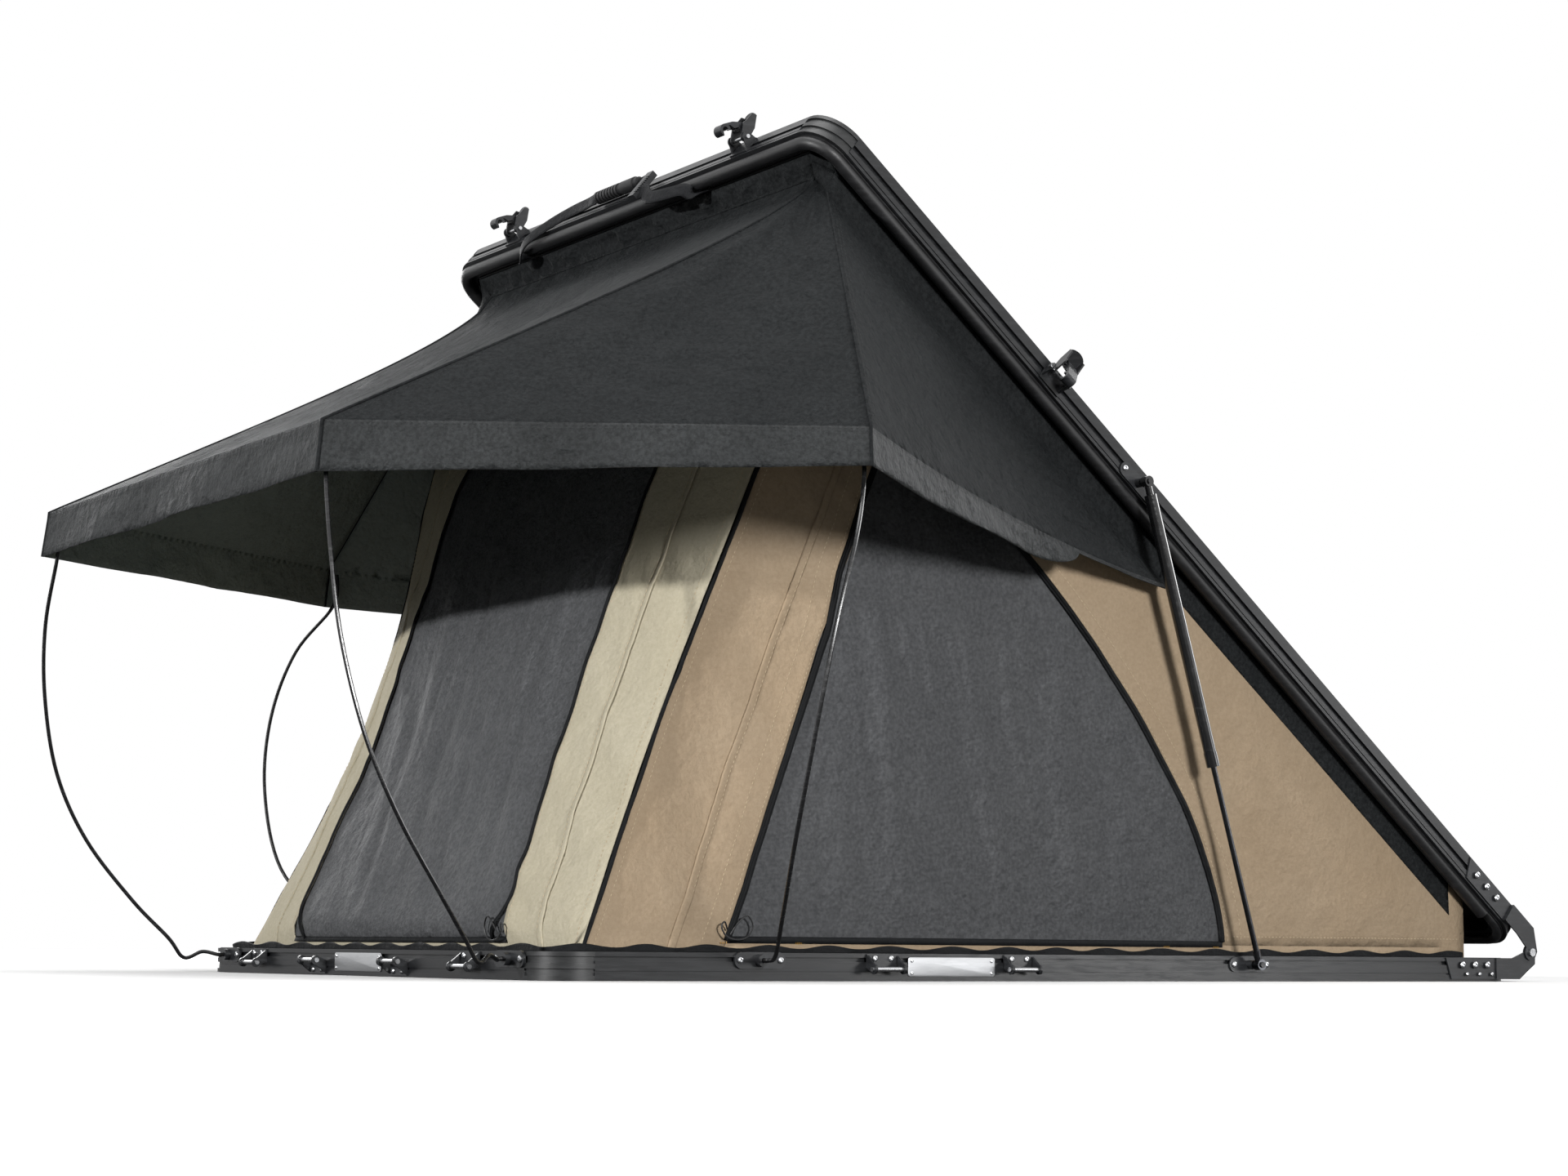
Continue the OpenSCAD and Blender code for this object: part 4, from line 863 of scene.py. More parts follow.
# Front and rear walls
def front_point(x, s, lift=0.0):
    """A point on the front wall, s up its slope: full in the middle, drawn back at its corners."""
    free = rise(s, 0.0, 0.10) * ease((0.63 - abs(x)) / 0.05)
    z = WALL_LOW + s * cos(LEAN)
    full = FULLNESS * rise(z, 0.03, 0.06) * (1 - rise(z, 0.75, 0.5))
    y = FRONT_FOOT + s * sin(LEAN) - lerp(full, -set_back(z), (abs(x) / FRONT_HALF) ** 3)
    return Vector((x * (1 - narrowed(z)), y, z)) + FRONT_OUT * (CLOTH / 2 + lift + free * ripple(x, s, 1.0))


def window_half(s):
    """Half the front window's width, s up the slope."""
    share = (s - FRONT_WINDOW_LOW) / (FRONT_WINDOW_TOP - FRONT_WINDOW_LOW)
    return FRONT_WINDOW - FRONT_WINDOW_TAPER * min(max(share, 0.0), 1.0) ** 4


def front_line(along, lift, low, high):
    """A line up the front wall; along(s) is how far from the middle it runs."""
    return [front_point(along(s), s, lift) for s in spaced(low, high, 80)]


def front_level(half, s, lift, steps):
    """A level line across the front wall."""
    return [front_point(x, s, lift) for x in spaced(-half, half, steps)]


def front_wall_cloth():
    """The foot, both sides of the window and the strip over it, sewn into one cloth."""
    bm = bmesh.new()

    def block(left, right, low, high):
        def place(u, v):
            s = lerp(low, high, v)
            x = lerp(left(s), right(s), u)
            return front_point(x, s), (x, s)
        return place

    def edge(side):
        return lambda s: side * window_half(s)

    def corner(side):
        return lambda s: side * FRONT_HALF

    levels = (0.0, FRONT_WINDOW_LOW, FRONT_WINDOW_TOP, SLOPE_L)
    for low, high, rows, window in zip(levels, levels[1:], (2, 90, 14), (False, True, False)):
        lay_grid(bm, 22, rows, block(corner(-1), edge(-1), low, high))
        lay_grid(bm, 22, rows, block(edge(1), corner(1), low, high))
        if not window:
            lay_grid(bm, 40, rows, block(edge(-1), edge(1), low, high))
    bmesh.ops.remove_doubles(bm, verts=bm.verts, dist=0.0004)
    return bm


def front_net_cloth():
    """The front net, with its sag and folds, sewn in behind the canvas."""
    bm = bmesh.new()
    lap = 0.010

    def place(u, v):
        s = lerp(FRONT_WINDOW_LOW - lap, FRONT_WINDOW_TOP + lap, v)
        x = lerp(-1, 1, u) * (window_half(s) + lap)
        sag = 0.004 * sin(pi * u) * sin(pi * v) + net_folds(x, s) * inside(u, 6) * inside(v, 6)
        return front_point(x, s, -0.0024 - sag), (x, s)

    lay_grid(bm, 110, 50, place)
    return bm


def make_front():
    """The front wall with its window net, zips, tape, felled seams and stitches."""
    low, head, top = FRONT_WINDOW_LOW, FRONT_WINDOW_TOP, SLOPE_L

    def cloth(name, bm, finish, slot, thickness):
        return cloth_piece(f"front_{name}", bm, finish, "base", slot, thickness)

    wall = cloth("wall_canvas", front_wall_cloth(), front_canvas, "front_canvas", CANVAS_T)
    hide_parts("front_wall")
    net = cloth("window_net", front_net_cloth(), insect_mesh, "mesh", NET_T)
    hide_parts("front_mesh")

    tapes, coils, welts, threads = bmesh.new(), bmesh.new(), bmesh.new(), bmesh.new()
    for side, _ in SIDES:

        def window_line(s):
            """The window's edge, rounded off at its foot."""
            return side * (window_half(s) - 0.045 * (1 - rise(s, low, 0.09)) ** 2)

        def felled(s):
            return side * lerp(window_half(s), FRONT_HALF, FELL_SHARE)

        tape_route = even_route(front_line(window_line, 0.0018, low, head), 0.012)
        add_ribbon(tapes, tape_route, FRONT_OUT, width=0.0085, crown=0.0006)
        add_tube(coils, even_route(front_line(window_line, 0.0030, low, head), 0.010), 0.0017, 2)
        add_ribbon(welts, front_line(felled, 0.0016, 0.010, top - 0.02), FRONT_OUT, WELT_W, 0.0012, 4)
        for gap in (-FELL_HALF, FELL_HALF):
            add_stitches(threads, front_line(lambda s: felled(s) + gap, 0.0024, 0.012, top - 0.04), FRONT_OUT)
        edge = front_line(lambda s: side * (FRONT_HALF - 0.016), 0.0012, 0.012, top - 0.04)
        beside_window = front_line(lambda s: side * (window_half(s) + 0.010), 0.0012, 0.04, head)
        for row in (edge, beside_window):
            add_stitches(threads, row, FRONT_OUT)
    for s, width in ((low, 0.010), (head, 0.012)):
        add_ribbon(tapes, front_level(window_half(s), s, 0.0018, 50), FRONT_OUT, width, crown=0.0004)
    for s in (0.010, 0.016):
        add_stitches(threads, front_level(0.6, s, 0.0010, 60), FRONT_OUT)
    tape = cloth("window_tape", tapes, zip_tape, "elastic", TAPE_T)
    zipper = make_piece("front_window_zip", coils, zip_tape, "base", "elastic")
    welt = cloth("wall_welts", welts, front_canvas, "front_canvas", TAPE_T)
    stitches = make_piece("front_wall_stitches", threads, thread_tan, "base", "front_canvas")

    bm = bmesh.new()
    for x in (-0.36, -0.15, 0.15, 0.35):
        slope = Vector((0, 0.004, 0.011))
        add_tacks(bm, lambda step: front_point(x + step, low - 0.006, 0.0022), slope, FRONT_OUT)
    tacks = make_piece("front_zip_tacks", bm, thread_amber, "base", "canvas")

    lay_down((wall, net, tape, zipper, welt, stitches, tacks))


# A zip pull's points in millimetres: along the wall, up, and out from it
PULL_LOOP = [
    (0, 0, 1), (-10, 18, 7), (-27, 30, 9), (-38, 14, 8), (-30, -2, 7),
    (-10, -8, 8), (12, -3, 9), (22, 12, 9), (15, 20, 7), (6, 8, 1),
]
PULL_D = 0.0028


def make_pull(name, start, along, out):
    """A loop of thin cord on a zip's slider."""
    points = [start + (along * a + UP * b + out * c) / 1000 for a, b, c in PULL_LOOP]
    route = smooth_route(points, 5)
    pull = tube_piece(name, route, PULL_D / 2, 2, webbing_cord, "base", "elastic")
    lay_down([pull])


def make_pulls():
    """The pulls of the two zips that end beside the front right corner."""
    s, z = FRONT_WINDOW_LOW + 0.003, WINDOW_LOW + 0.010
    front_start = front_point(window_half(s) - 0.016, s, 0.004)
    side_start = side_point(1, strip_edge(z), z, 0.005)
    make_pull("front_zip_pull_right", front_start, Vector((1, 0, 0)), FRONT_OUT)
    make_pull("right_zip_pull", side_start, Vector((0, -1, 0)), Vector((1, 0, 0)))


def make_rear():
    """The low rear wall."""
    bm = bmesh.new()
    top = wall_top(SIDE_REAR) - 0.004

    def place(u, v):
        x, z = lerp(-WALL_X, WALL_X, u), lerp(WALL_LOW, top, v)
        waves = 0.004 * sin(pi * v) * drift(x * 6, z * 3, 9)
        return Vector((x, SIDE_REAR - CLOTH / 2 + waves, z)), (x, z)

    lay_grid(bm, 40, 6, place)
    wall = cloth_piece("rear_wall_canvas", bm, side_canvas, "base", "canvas", CANVAS_T)
    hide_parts("rear_wall")
    lay_down([wall])


# Canopy and its rods: lines on the shut lid, then the corners that the rods hold, per side
TRACK_FRONT, HEAD_FRONT = (-1.009, 0.0492), (-0.970, 0.0342)
TRACK_SIDE_X, BAND_X = 0.617, 0.6227
BAND_HALF, SEAM_HALF = 0.587, 0.572
CORNER_TRACK, CORNER_FOLD, CORNER_SEAM = -0.979, -0.967, -0.955
TAIL_X, TAIL_Y, TAIL_Z = 0.6547, -0.020, -0.020
FRONT_CORNER = {1: Vector((0.575, -1.408, 0.832)), -1: Vector((-0.577, -1.410, 0.825))}
SIDE_POINT = {1: Vector((0.960, -0.675, 0.843)), -1: Vector((-0.960, -0.675, 0.818))}
HIP_SAG = {1: 0.029, -1: 0.039}
VALANCE, SIDE_VALANCE = 0.080, {1: 0.062, -1: 0.078}
SAG, FLARE, PLAIN_HEM, WING_BOW = 0.020, 0.010, 0.010, 1.6
# The slot of the valance's outside, whose lighter finish is painted light
HEM_SLOT = 2
PIPING_R, ROD_R = 0.0028, 0.0035

# Points of the right rods, from their sockets up
FRONT_ROD = [
    (0.536, -1.057, 0.032), (0.536, -1.066, 0.032), (0.536, -1.076, 0.032), (0.556, -1.098, 0.037),
    (0.574, -1.126, 0.026), (0.582, -1.154, 0.062), (0.612, -1.214, 0.130), (0.636, -1.297, 0.240),
    (0.638, -1.356, 0.360), (0.622, -1.390, 0.500), (0.602, -1.401, 0.630), (0.567, -1.396, 0.752),
    (0.563, -1.392, 0.818),
]
SIDE_ROD = [
    (0.665, -0.672, 0.032), (0.674, -0.672, 0.032), (0.684, -0.672, 0.032), (0.720, -0.682, 0.040),
    (0.808, -0.728, 0.100), (0.920, -0.782, 0.205), (0.988, -0.792, 0.370), (1.012, -0.772, 0.530),
    (1.000, -0.728, 0.668), (0.940, -0.673, 0.766), (0.932, -0.671, 0.829),
]


def track_front(x):
    return opened(x, *TRACK_FRONT)


def head_front(x):
    return opened(x, *HEAD_FRONT)


def side_rows(side, track_y, fold_y, seam_y):
    """The band's lines at a side: the track, the fold under it and the panels' seam."""
    return (
        opened(TRACK_SIDE_X * side, track_y, 0.0495),
        opened(BAND_X * side, fold_y, 0.040),
        opened(BAND_X * side, seam_y, 0.0),
    )


def corner_way(side):
    return Vector((0.38 * side, -0.92, 0))


def wing_way(side):
    return Vector((0.92 * side, -0.38, 0))


def corner_drop(side):
    return lambda u: lerp(SIDE_VALANCE[side], VALANCE, u)


def side_drop(side):
    """The side valance narrows towards its rounded end, then leaves a plain hem."""
    end = 0.72

    def drop(u):
        if u >= end:
            return PLAIN_HEM
        round_off = min((end - u) / 0.14, 1.0)
        width = lerp(SIDE_VALANCE[side] - PLAIN_HEM, 0.034, u / end)
        return PLAIN_HEM + width * (1 - (1 - round_off) ** 2) ** 0.5
    return drop


def pull_creases(u, v, seed):
    """Slanting pull creases and soft dents of loose cloth."""
    slanting = ridge(u * 3.5 + v * 8.0, u * 2.0 - v * 1.6, seed + 2)
    fine = ridge(u * 9.0 + v * 21.0, u * 4.0 - v * 3.0, seed + 7)
    return 0.018 * slanting + 0.008 * fine + 0.010 * drift(u * 6.0, v * 2.2, seed)


def band_strips(bm, lines, columns, gather=0.0, seed=0.0):
    """The band between the track and a panel's head, through its fold lines."""
    for step, (upper, lower) in enumerate(zip(lines, lines[1:])):
        way = (lower[0] - upper[0]).cross(upper[1] - upper[0]).normalized()

        def strip(u, v):
            p = upper[0].lerp(upper[1], u).lerp(lower[0].lerp(lower[1], u), v)
            soft = sin(pi * (step + v) / (len(lines) - 1))
            return p + way * (gather * soft * drift(u * 40, v * 1.5, seed)), (u, v * 0.05)

        lay_grid(bm, columns, 4, strip)


class Panel:
    """A canopy panel: its head's and hem's ends, and how its valance and its slack hang."""

    def __init__(self, ends, ways, drop, hips=(0.0, 0.0), bow=1.0, seed=0.0):
        self.ends, self.ways, self.drop = ends, ways, drop
        self.hips, self.bow, self.seed = hips, bow, seed

    def hem(self, u):
        a, b = self.ends[2:]
        return Vector((lerp(b.x, a.x, (1 - u) ** self.bow), lerp(a.y, b.y, u), lerp(a.z, b.z, u)))

    def point(self, u, v):
        """A point from the head, v 0, to the hem, v 1."""
        p = self.ends[0].lerp(self.ends[1], u).lerp(self.hem(u), v)
        belly = sin(pi * v) * sin(pi * u)
        hip = lerp(self.hips[0], self.hips[1], u) * sin(pi * v ** 0.5)
        p.z -= SAG * belly * (1 + 0.2 * cos(4 * pi * u)) + hip
        p.z += pull_creases(u, v, self.seed) * min(belly * 3.0, 1.0)
        return p

    def valance(self, u, k):
        """A point of the valance, k down its drop, in loose folds."""
        p = self.hem(u)
        loose = 0.007 * cos(5 * pi * u) + 0.006 * drift(u * 16, k * 2, p.x)
        puckers = 0.0035 * drift(u * 55 + k * 3, k * 4, 4.0)
        out = k * ((loose + puckers) * sin(pi * u) + FLARE)
        return p - Vector((0, 0, self.drop(u) * k)) + self.ways[0].lerp(self.ways[1], u).normalized() * out

    def face(self, aim):
        """The way that the panel's outer side looks, on the side of the aim."""
        a, b, c, _ = self.ends
        face = (c - a).cross(b - a).normalized()
        return -face if face.dot(aim) < 0 else face

    def cloth(self, bands, columns, rows, gather=0.0):
        """The band that the panel hangs from, the panel itself and its valance."""
        bm = bmesh.new()
        a, b, c, d = self.ends
        band_strips(bm, bands + [(a, b)], columns, gather, self.seed)
        width, length = max((b - a).length, (d - c).length), max((c - a).length, (d - b).length)

        def place(u, v):
            return self.point(u, v), (u * width, -v * length)

        def hang(u, v):
            return self.valance(u, v), (u * width, -length - v * self.drop(u))

        lay_grid(bm, columns, rows, place)
        lay_grid(bm, columns * 2, 8, hang, HEM_SLOT)
        bmesh.ops.remove_doubles(bm, verts=bm.verts, dist=0.0003)
        bm.normal_update()
        if sum(face.normal.dot(UP + self.ways[0]) * face.calc_area() for face in bm.faces) < 0:
            bmesh.ops.reverse_faces(bm, faces=bm.faces)
        return bm

    def hem_stitches(self):
        """Two rows under the fold line and one along the lower hem."""
        bm = bmesh.new()
        out = self.ways[0].lerp(self.ways[1], 0.5).normalized()
        for k in (0.04, 0.11, 0.86):
            add_stitches(bm, [self.valance(u, k) + out * 0.0012 for u in spaced(0, 1, 70)], out)
        return bm

    def side_stitches(self, edges, face, steps):
        """The hem's stitches, and rows from head to hem along a seam."""
        bm = self.hem_stitches()
        for u in edges:
            add_stitches(bm, [self.point(u, v) + face * 0.0014 for v in spaced(0, 1, steps)], face)
        return bm

    def seam(self, u, face):
        """A line down a side edge and on over the valance."""
        down = [self.point(u, v) + face * 0.001 for v in spaced(0, 1, 40)]
        return down + [self.valance(u, k / 6) for k in range(1, 7)]


def canopy_piece(name, bm, body):
    """A lined panel: its finishes go outside, lining, valance, lining; the valance's outside is the canopy
    cloth made lighter as painted light, and the lining is lightened with painted bounce light.
    """
    piece = cloth_piece(name, bm, canopy_cloth, body, "canopy", CANVAS_T, sharp=60)
    for material in (canopy_lining_painted_bounce, canopy_hem_painted_light, canopy_lining_painted_bounce):
        piece.data.materials.append(material)
    piece.modifiers["cloth_thickness"].material_offset = 1
    return piece


def canopy_seam(name, route, body):
    return tube_piece(name, route, PIPING_R, 2, canopy_cloth, body, "canopy")


def make_rod(name, body, points, side, lower):
    """A sprung rod, lowered towards its top where the canopy hangs lower."""
    route = [(x * side, y, z - lower * ease(z / 0.8)) for x, y, z in points]
    return tube_piece(name, smooth_route(route, 8), ROD_R, 3, rod_black, body, "rod")


FRONT_ENDS = (head_front(SEAM_HALF), head_front(-SEAM_HALF), FRONT_CORNER[1], FRONT_CORNER[-1])
FRONT_FOLD = (FRONT_ENDS[2] - FRONT_ENDS[0]).cross(Vector((1, 0, 0))).normalized()


def fold_front(pieces):
    fold(pieces)


def make_canopy_front():
    """The canopy's front panel, gathered along its track."""
    ways, hips = (corner_way(1), corner_way(-1)), (HIP_SAG[1], HIP_SAG[-1])
    panel = Panel(FRONT_ENDS, ways, lambda u: VALANCE, hips, seed=1.0)
    face = -FRONT_FOLD if FRONT_FOLD.z < 0 else FRONT_FOLD
    band = [(track_front(BAND_HALF), track_front(-BAND_HALF))]
    cloth = canopy_piece("canopy_front_cloth", panel.cloth(band, 90, 34, gather=0.016), "awning")
    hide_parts("canopy_front")
    bm = panel.hem_stitches()
    for v in (0.010, 0.022):
        add_stitches(bm, [panel.point(u, v) + face * 0.0012 for u in spaced(0, 1, 70)], face)
    sewing = make_piece("canopy_front_stitches", bm, thread_black, "awning", "canopy")
    head = [p + face * 0.002 for p in straight(FRONT_ENDS[0], FRONT_ENDS[1], 60)]
    seam = canopy_seam("canopy_head_seam", head, "awning")
    fold_front((cloth, sewing, seam))


def make_corner(side, label):
    """A corner panel between the front and side rods, and its band on the track."""
    near, near_track = head_front(SEAM_HALF * side), track_front(BAND_HALF * side)
    track, crease, back = side_rows(side, CORNER_TRACK, CORNER_FOLD, CORNER_SEAM)
    tip, wing = FRONT_CORNER[side], SIDE_POINT[side]
    bm = bmesh.new()
    band_strips(bm, [(track, near_track), (crease, near_track.lerp(near, 0.3)), (back, near)], 16)
    area = sum(face.calc_area() for face in bm.faces)
    band = cloth_piece(f"canopy_corner_band_{label}", bm, canopy_cloth, "lid", "canopy", CANVAS_T, sharp=60)
    fold([band])

    ways, hips = (wing_way(side), corner_way(side)), (0.0, HIP_SAG[side])
    panel = Panel((back, near, wing, tip), ways, corner_drop(side), hips, seed=3.0 + side)
    face = panel.face(UP)
    cloth = canopy_piece(f"canopy_corner_cloth_{label}", panel.cloth([], 48, 44), "awning")
    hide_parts(f"canopy_corner_{label}")
    bm = panel.side_stitches((0.988, 0.975), face, 70)
    sewing = make_piece(f"canopy_corner_stitches_{label}", bm, thread_black, "awning", "canopy")
    seam = canopy_seam(f"canopy_seam_{label}", panel.seam(1.0, face), "awning")
    fold((cloth, sewing, seam))


def make_wing(side, label):
    """A side panel from its rod to its tail on the track, and the two rods of that side."""
    body, wing = f"wing_{label}", SIDE_POINT[side]
    track, crease, back = side_rows(side, CORNER_TRACK, CORNER_FOLD, CORNER_SEAM)
    rear_track, rear_crease, rear = side_rows(side, TAIL_Y, TAIL_Y, TAIL_Y)
    tail = opened(TAIL_X * side, TAIL_Y, TAIL_Z)
    out = Vector((side, 0, 0))
    panel = Panel(
        (back, rear, wing, tail), (wing_way(side), out), side_drop(side), bow=WING_BOW, seed=6.0 + side
    )
    face = panel.face(out)
    bm = panel.cloth([(track, rear_track), (crease, rear_crease)], 72, 30)
    cloth = canopy_piece(f"canopy_side_cloth_{label}", bm, body)
    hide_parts(f"canopy_side_{label}")
    bm = panel.side_stitches((0.012, 0.024), face, 60)
    sewing = make_piece(f"canopy_side_stitches_{label}", bm, thread_black, body, "canopy")
    seam = canopy_seam(f"canopy_side_seam_{label}", panel.seam(0.0, face), body)
    rod = make_rod(f"side_bow_{label}", body, SIDE_ROD, side, SIDE_POINT[1].z - wing.z)
    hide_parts(f"awning_rod_side_{label}")
    fold((cloth, sewing, seam, rod))
    lower = FRONT_CORNER[1].z - FRONT_CORNER[side].z
    front_rod = make_rod(f"front_bow_{label}", "awning", FRONT_ROD, side, lower)
    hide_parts(f"awning_rod_front_{label}")
    fold_front([front_rod])


# Seal, strap, skirt and mattress
def make_bulb():
    """The lid's rounded seal."""
    inset = 0.017
    route = [opened(x, y, 0.0465) for x, y in shell_route(inset, 0.053, 0.95, 40, 10, 30)]
    bulb = tube_piece("lid_bulb", route, 0.012, 4, seal_rubber, "lid", "seal")
    fold([bulb])


# Each strap's width, and its points in millimetres: out from the lid's front, to the right, and up
STRAPS = {
    "pull_strap_left": (0.025, [
        (15, -75.5, 77), (15, -83, 77), (15, -93, 77), (11, -125, 80), (9, -185, 79), (8, -255, 64),
        (6, -310, 38), (-6, -339, 26), (-20, -353, 24), (-33, -356, 42), (-33, -356, 49), (-33, -356, 55.4),
    ]),
    "pull_strap_short": (0.015, [(15, 75.5, 77), (15, 83, 77), (15, 91, 79), (15, 98.5, 79)]),
    "pull_strap_loop": (0.025, [
        (13, 119.5, 35), (13, 127, 35), (13, 137, 35), (9, 164, 13), (4, 214, 11), (-6, 251, 23),
        (-20, 266, 24), (-33, 269, 42), (-33, 269, 49), (-33, 269, 55.4),
    ]),
}


def make_straps():
    """Webbing of the pull handle: into the grip, and down to its sewn ends under the lid's front."""
    look = OPEN.to_3x3() @ Vector((0, -1, -0.4))
    for name, (width, points) in STRAPS.items():
        route = smooth_route([opened(v / 1000, -HALF_L - u / 1000, w / 1000) for u, v, w in points], 6)
        bm = bmesh.new()
        add_ribbon(bm, route, look, width, crown=0.0003, across=4)
        piece = cloth_piece(name, bm, webbing, "lid", "webbing", WEBBING_T)
        if name == "pull_strap_left":
            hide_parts("pull_strap")
        if name != "pull_strap_short":
            fold([piece])


def make_skirt():
    """The gathered elastic edge along the walls' foot."""
    pitch, wave_length = 0.006, 0.118
    route = [Vector((x, y, 0)) for x, y in shell_route(0.0285, 0.05, 0.93, 150, 8, 100)]
    route = even_route(route, pitch)
    n = len(route) - 1
    bm = bmesh.new()

    def place(u, v):
        i = round(u * n)
        along = (route[min(i + 1, n)] - route[max(i - 1, 0)]).normalized()
        side = along.cross(UP)
        run = i * pitch
        wave = sin(run * 2 * pi / wave_length + 1.6 * drift(run * 3, 0, 2))
        gather = drift(run * 55, v * 2, 5)
        tall = 0.0105 + 0.0030 * wave
        foot = route[i] + Vector((0, 0, BASE_H - 0.001 + tall * v))
        return foot + side * (0.0016 * wave * v + 0.0010 * gather * v), (run, v * 0.015)

    lay_grid(bm, n, 4, place)
    skirt = cloth_piece("foot_skirt", bm, elastic, "base", "elastic", WEBBING_T)
    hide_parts("wall_skirt")
    lay_down([skirt])


def make_mattress():
    """A foam slab in a sewn cover: soft edges, and a piped seam round it near its foot and its top."""
    x, y, low, high = 0.564, 0.930, FLOOR_TOP + 0.0004, 0.0755
    corner_r, edge_r, crown, piping_r, seam_in = 0.06, 0.012, 0.0004, 0.0022, 0.010
    bm = bmesh.new()
    bmesh.ops.create_cube(bm, size=1.0)
    size = Matrix.Diagonal((2 * x, 2 * y, high - low, 1))
    bmesh.ops.transform(bm, verts=bm.verts, matrix=Matrix.Translation((0, 0, (low + high) / 2)) @ size)
    upright = [e for e in bm.edges if abs(e.verts[0].co.z - e.verts[1].co.z) > 0.01]
    round_edges(bm, upright, corner_r, 8)
    rim = [e for e in bm.edges if abs(e.verts[0].co.z - e.verts[1].co.z) < 1e-6]
    round_edges(bm, rim, edge_r, 4)
    for cap in [f for f in bm.faces if len(f.verts) > 8]:
        bmesh.ops.inset_region(bm, faces=[cap], thickness=0.10, depth=0.0)
    for p in bm.verts:
        if p.co.z > high - 0.002 and max(abs(p.co.x) / x, abs(p.co.y) / y) <= 0.9:
            p.co.z += crown
    settle(bm)
    uv = bm.loops.layers.uv.new("Cloth")
    for face in bm.faces:
        for loop in face.loops:
            p = loop.vert.co
            loop[uv].uv = (p.x + p.z, p.y + p.z)
    pad = make_piece("mattress_pad", bm, mattress_cover, "base", "foam", sharp=50)
    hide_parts("mattress")

    r, reach = corner_r, corner_r + 0.0005
    corners = ((x - r, y - r, 0), (-x + r, y - r, pi / 2), (-x + r, -y + r, pi), (x - r, -y + r, 1.5 * pi))
    for name, z in (("mattress_piping_low", low + seam_in), ("mattress_piping_high", high - seam_in)):
        ring = []
        for cx, cy, start in corners:
            turn = [start + pi / 2 * i / 8 for i in range(9)]
            ring += [Vector((cx + reach * cos(a), cy + reach * sin(a), z)) for a in turn]
        tube_piece(name, ring + [ring[0]], piping_r, 2, mattress_cover, "base", "foam")


# Screws and bare plates: a screw's size is its head's radius and rise
BRACKET_SCREW, PIN_SCREW, PLATE_SCREW = (0.0052, 0.0034), (0.0048, 0.0032), (0.0030, 0.0018)
HINGE_BOLT, HINGE_SCREW = (0.0064, 0.0042), (0.0036, 0.0026)
BRACKET_STEPS, PIN_STEPS = (-38 / 1000, 38 / 1000), (-16 / 1000, 16 / 1000)
BRACKET_T, PIN_PLATE_T, HINGE_T = 0.004, 0.003, 0.0063
PLATE_W, PLATE_H, PLATE_T, PLATE_Z = 0.178, 0.031, 0.0014, 0.0228
PLATE_OUT, PLATE_FACE, PLATE_SCREW_X, PLATE_SCREW_Y = 0.0009, 0.0018, 0.082, 0.010


def add_screw(bm, place, out, radius, rise_by):
    """A domed screw head with a socket, whose outline has as many sides as the head."""
    sides = 18
    up = Vector(out).normalized()
    seat = Matrix.Translation(Vector(place)) @ Vector(out).to_track_quat("Z", "Y").to_matrix().to_4x4()
    made = bmesh.ops.create_circle(bm, cap_ends=True, segments=sides, radius=radius, matrix=seat)["verts"]
    face = next(f for f in made[0].link_faces if len(f.verts) == sides)
    body = bmesh.ops.extrude_face_region(bm, geom=[face])["geom"]
    top = next(g for g in body if isinstance(g, bmesh.types.BMFace))
    bmesh.ops.translate(bm, verts=top.verts, vec=up * rise_by * 0.55)
    for inset, depth in ((0.24, 0.3), (0.24, 0.15), (0.06, -0.5)):
        bmesh.ops.inset_region(bm, faces=[top], thickness=radius * inset, depth=rise_by * depth)


def screw_piece(name, body, seats):
    bm = bmesh.new()
    for place, out, size in seats:
        one = bmesh.new()
        add_screw(one, place, out, *size)
        bmesh.ops.recalc_face_normals(one, faces=one.faces)
        settle(one)
        join_into(bm, one)
    make_piece(name, bm, bright_steel, body, "steel", sharp=25)


def front_seat(x, proud, z, size):
    """A screw's seat in front of the shell's front face."""
    return (x, -HALF_L - proud, z), (0, -1, 0), size


def side_seat(side, y, proud, z, size):
    """A screw's seat outside a side face of the shell."""
    return (side * (HALF_W + proud), y, z), (side, 0, 0), size


def on_lid(seat):
    place, out, size = seat
    return OPEN @ Vector(place), OPEN.to_3x3() @ Vector(out), size


def make_screws():
    """Screws of the brackets, pin brackets and hinge plates, on the base and on the lid."""
    base, lid = [], []
    for s, _ in SIDES:
        for step in BRACKET_STEPS:
            base.append(front_seat(s * 0.536 + step, BRACKET_T, 0.032, BRACKET_SCREW))
            base.append(side_seat(s, -0.672 + step, BRACKET_T, 0.032, BRACKET_SCREW))
            base.append(side_seat(s, 0.365 + step, PIN_PLATE_T, 0.029, BRACKET_SCREW))
        for step in PIN_STEPS:
            base.append(front_seat(s * 0.405 + step, PIN_PLATE_T, 0.036, PIN_SCREW))
            base.append(front_seat(s * 0.155 + step, PIN_PLATE_T, 0.009, PIN_SCREW))
            for y in (-0.434, -0.154):
                base.append(side_seat(s, y + step, PIN_PLATE_T, 0.036, PIN_SCREW))
        for y in (0.893, 0.926, 0.959):
            base.append(side_seat(s, y, HINGE_T, 0.030, HINGE_BOLT))
            base.append(side_seat(s, y + 0.012, HINGE_T, 0.013, HINGE_SCREW))
        for y in (0.877, 0.910, 0.943):
            lid.append(on_lid(side_seat(s, y, HINGE_T, 0.0775, HINGE_BOLT)))
        for step in BRACKET_STEPS:
            lid.append(on_lid(side_seat(s, -0.184 + step, PIN_PLATE_T, 0.071, BRACKET_SCREW)))
    screw_piece("base_screws", "base", base)
    screw_piece("lid_screws", "lid", lid)


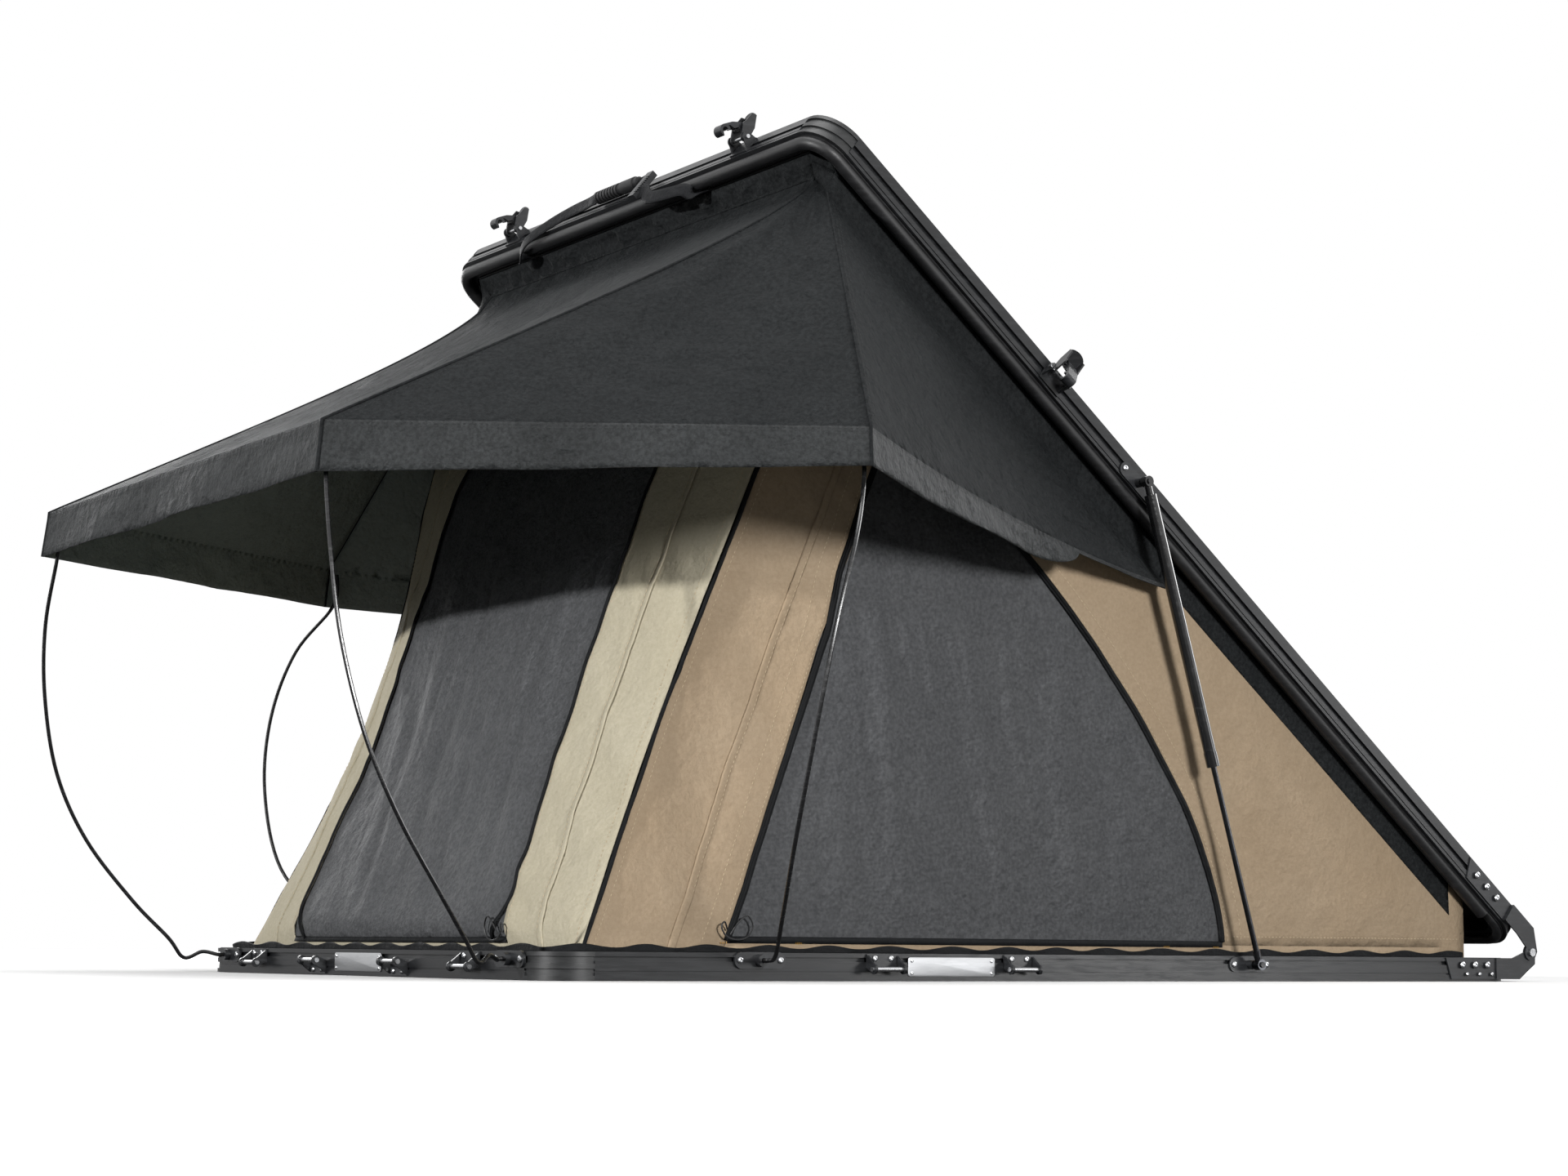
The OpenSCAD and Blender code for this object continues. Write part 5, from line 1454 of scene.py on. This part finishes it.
def make_bare_plates():
    """Plain plates on the base's outer faces, one on the right and one at the front."""
    places = {
        "plate_right": Matrix(((0, 0, 1, HALF_W), (1, 0, 0, -0.293), (0, 1, 0, PLATE_Z), (0, 0, 0, 1))),
        "plate_front": Matrix(((1, 0, 0, 0.0), (0, 0, -1, -HALF_L), (0, 1, 0, PLATE_Z), (0, 0, 0, 1))),
    }
    shape = Matrix.Translation((0, 0, PLATE_OUT)) @ Matrix.Diagonal((PLATE_W, PLATE_H, PLATE_T, 1))
    for name, at in places.items():
        bm = bmesh.new()
        bmesh.ops.create_cube(bm, size=1.0, matrix=shape)
        upright = [e for e in bm.edges if abs(e.verts[0].co.z - e.verts[1].co.z) > 0.0005]
        round_edges(bm, upright, 0.0045, 4)
        top = max(bm.faces, key=lambda f: f.calc_center_median().z)
        bmesh.ops.inset_region(bm, faces=[top], thickness=0.0012, depth=0.0)
        bmesh.ops.translate(bm, verts=top.verts, vec=(0, 0, 0.0004))
        bmesh.ops.transform(bm, verts=bm.verts, matrix=at)
        settle(bm)
        make_piece(name, bm, plate_metal, "base", "steel", sharp=20)
        out = at.to_3x3() @ UP
        seats = []
        for x in (-PLATE_SCREW_X, PLATE_SCREW_X):
            for y in (-PLATE_SCREW_Y, PLATE_SCREW_Y):
                seats.append((at @ Vector((x, y, PLATE_FACE)), out, PLATE_SCREW))
        screw_piece(name + "_screws", "base", seats)


def make_floor():
    """A pale floor that keeps the shadow and fades to white away from the object."""
    bm = bmesh.new()
    bmesh.ops.create_grid(bm, x_segments=4, y_segments=4, size=FLOOR_SIZE)
    mesh = bpy.data.meshes.new("studio_floor")
    bm.to_mesh(mesh)
    bm.free()
    pale = Finish("pale_floor", "#f6f6f6", 0.9)
    tree = pale.tree
    haze = pale.effect(CLOUD, pale.points(), Scale=0.6, Contrast=0.6)
    pale.tone(haze["Mask"], "#f1f1f1", 0.5)
    seen = tree.nodes.new("ShaderNodeLightPath").outputs["Is Camera Ray"]
    pale.tone(calc(tree, "SUBTRACT", 1.0, seen), "#424242")
    reach = tree.nodes.new("ShaderNodeVectorMath")
    reach.operation = "LENGTH"
    tree.links.new(pale.points(), reach.inputs[0])
    far = tree.nodes.new("ShaderNodeMapRange")
    far.interpolation_type = "SMOOTHSTEP"
    far.inputs["From Min"].default_value, far.inputs["From Max"].default_value = FLOOR_FADE
    tree.links.new(reach.outputs["Value"], far.inputs["Value"])
    glow = tree.nodes.new("ShaderNodeMix")
    glow.data_type = "RGBA"
    glow.inputs[6].default_value, glow.inputs[7].default_value = BLACK, WHITE
    tree.links.new(calc(tree, "MULTIPLY", far.outputs["Result"], seen), glow.inputs[0])
    tree.links.new(glow.outputs[2], pale.shader.inputs["Emission Color"])
    mesh.materials.append(pale.plain(Emission_Strength=1.0))
    floor = bpy.data.objects.new("studio_floor", mesh)
    floor.location.z = -FLOOR_DROP
    bpy.context.scene.collection.objects.link(floor)


# Putting it together
set_camera()
set_light()
make_floor()
finish_nodes()
for side, label in SIDES:
    make_side(side, label)
make_front()
make_pulls()
make_rear()
make_canopy_front()
for side, label in SIDES:
    make_corner(side, label)
    make_wing(side, label)
make_bulb()
make_straps()
make_skirt()
make_mattress()
make_screws()
make_bare_plates()
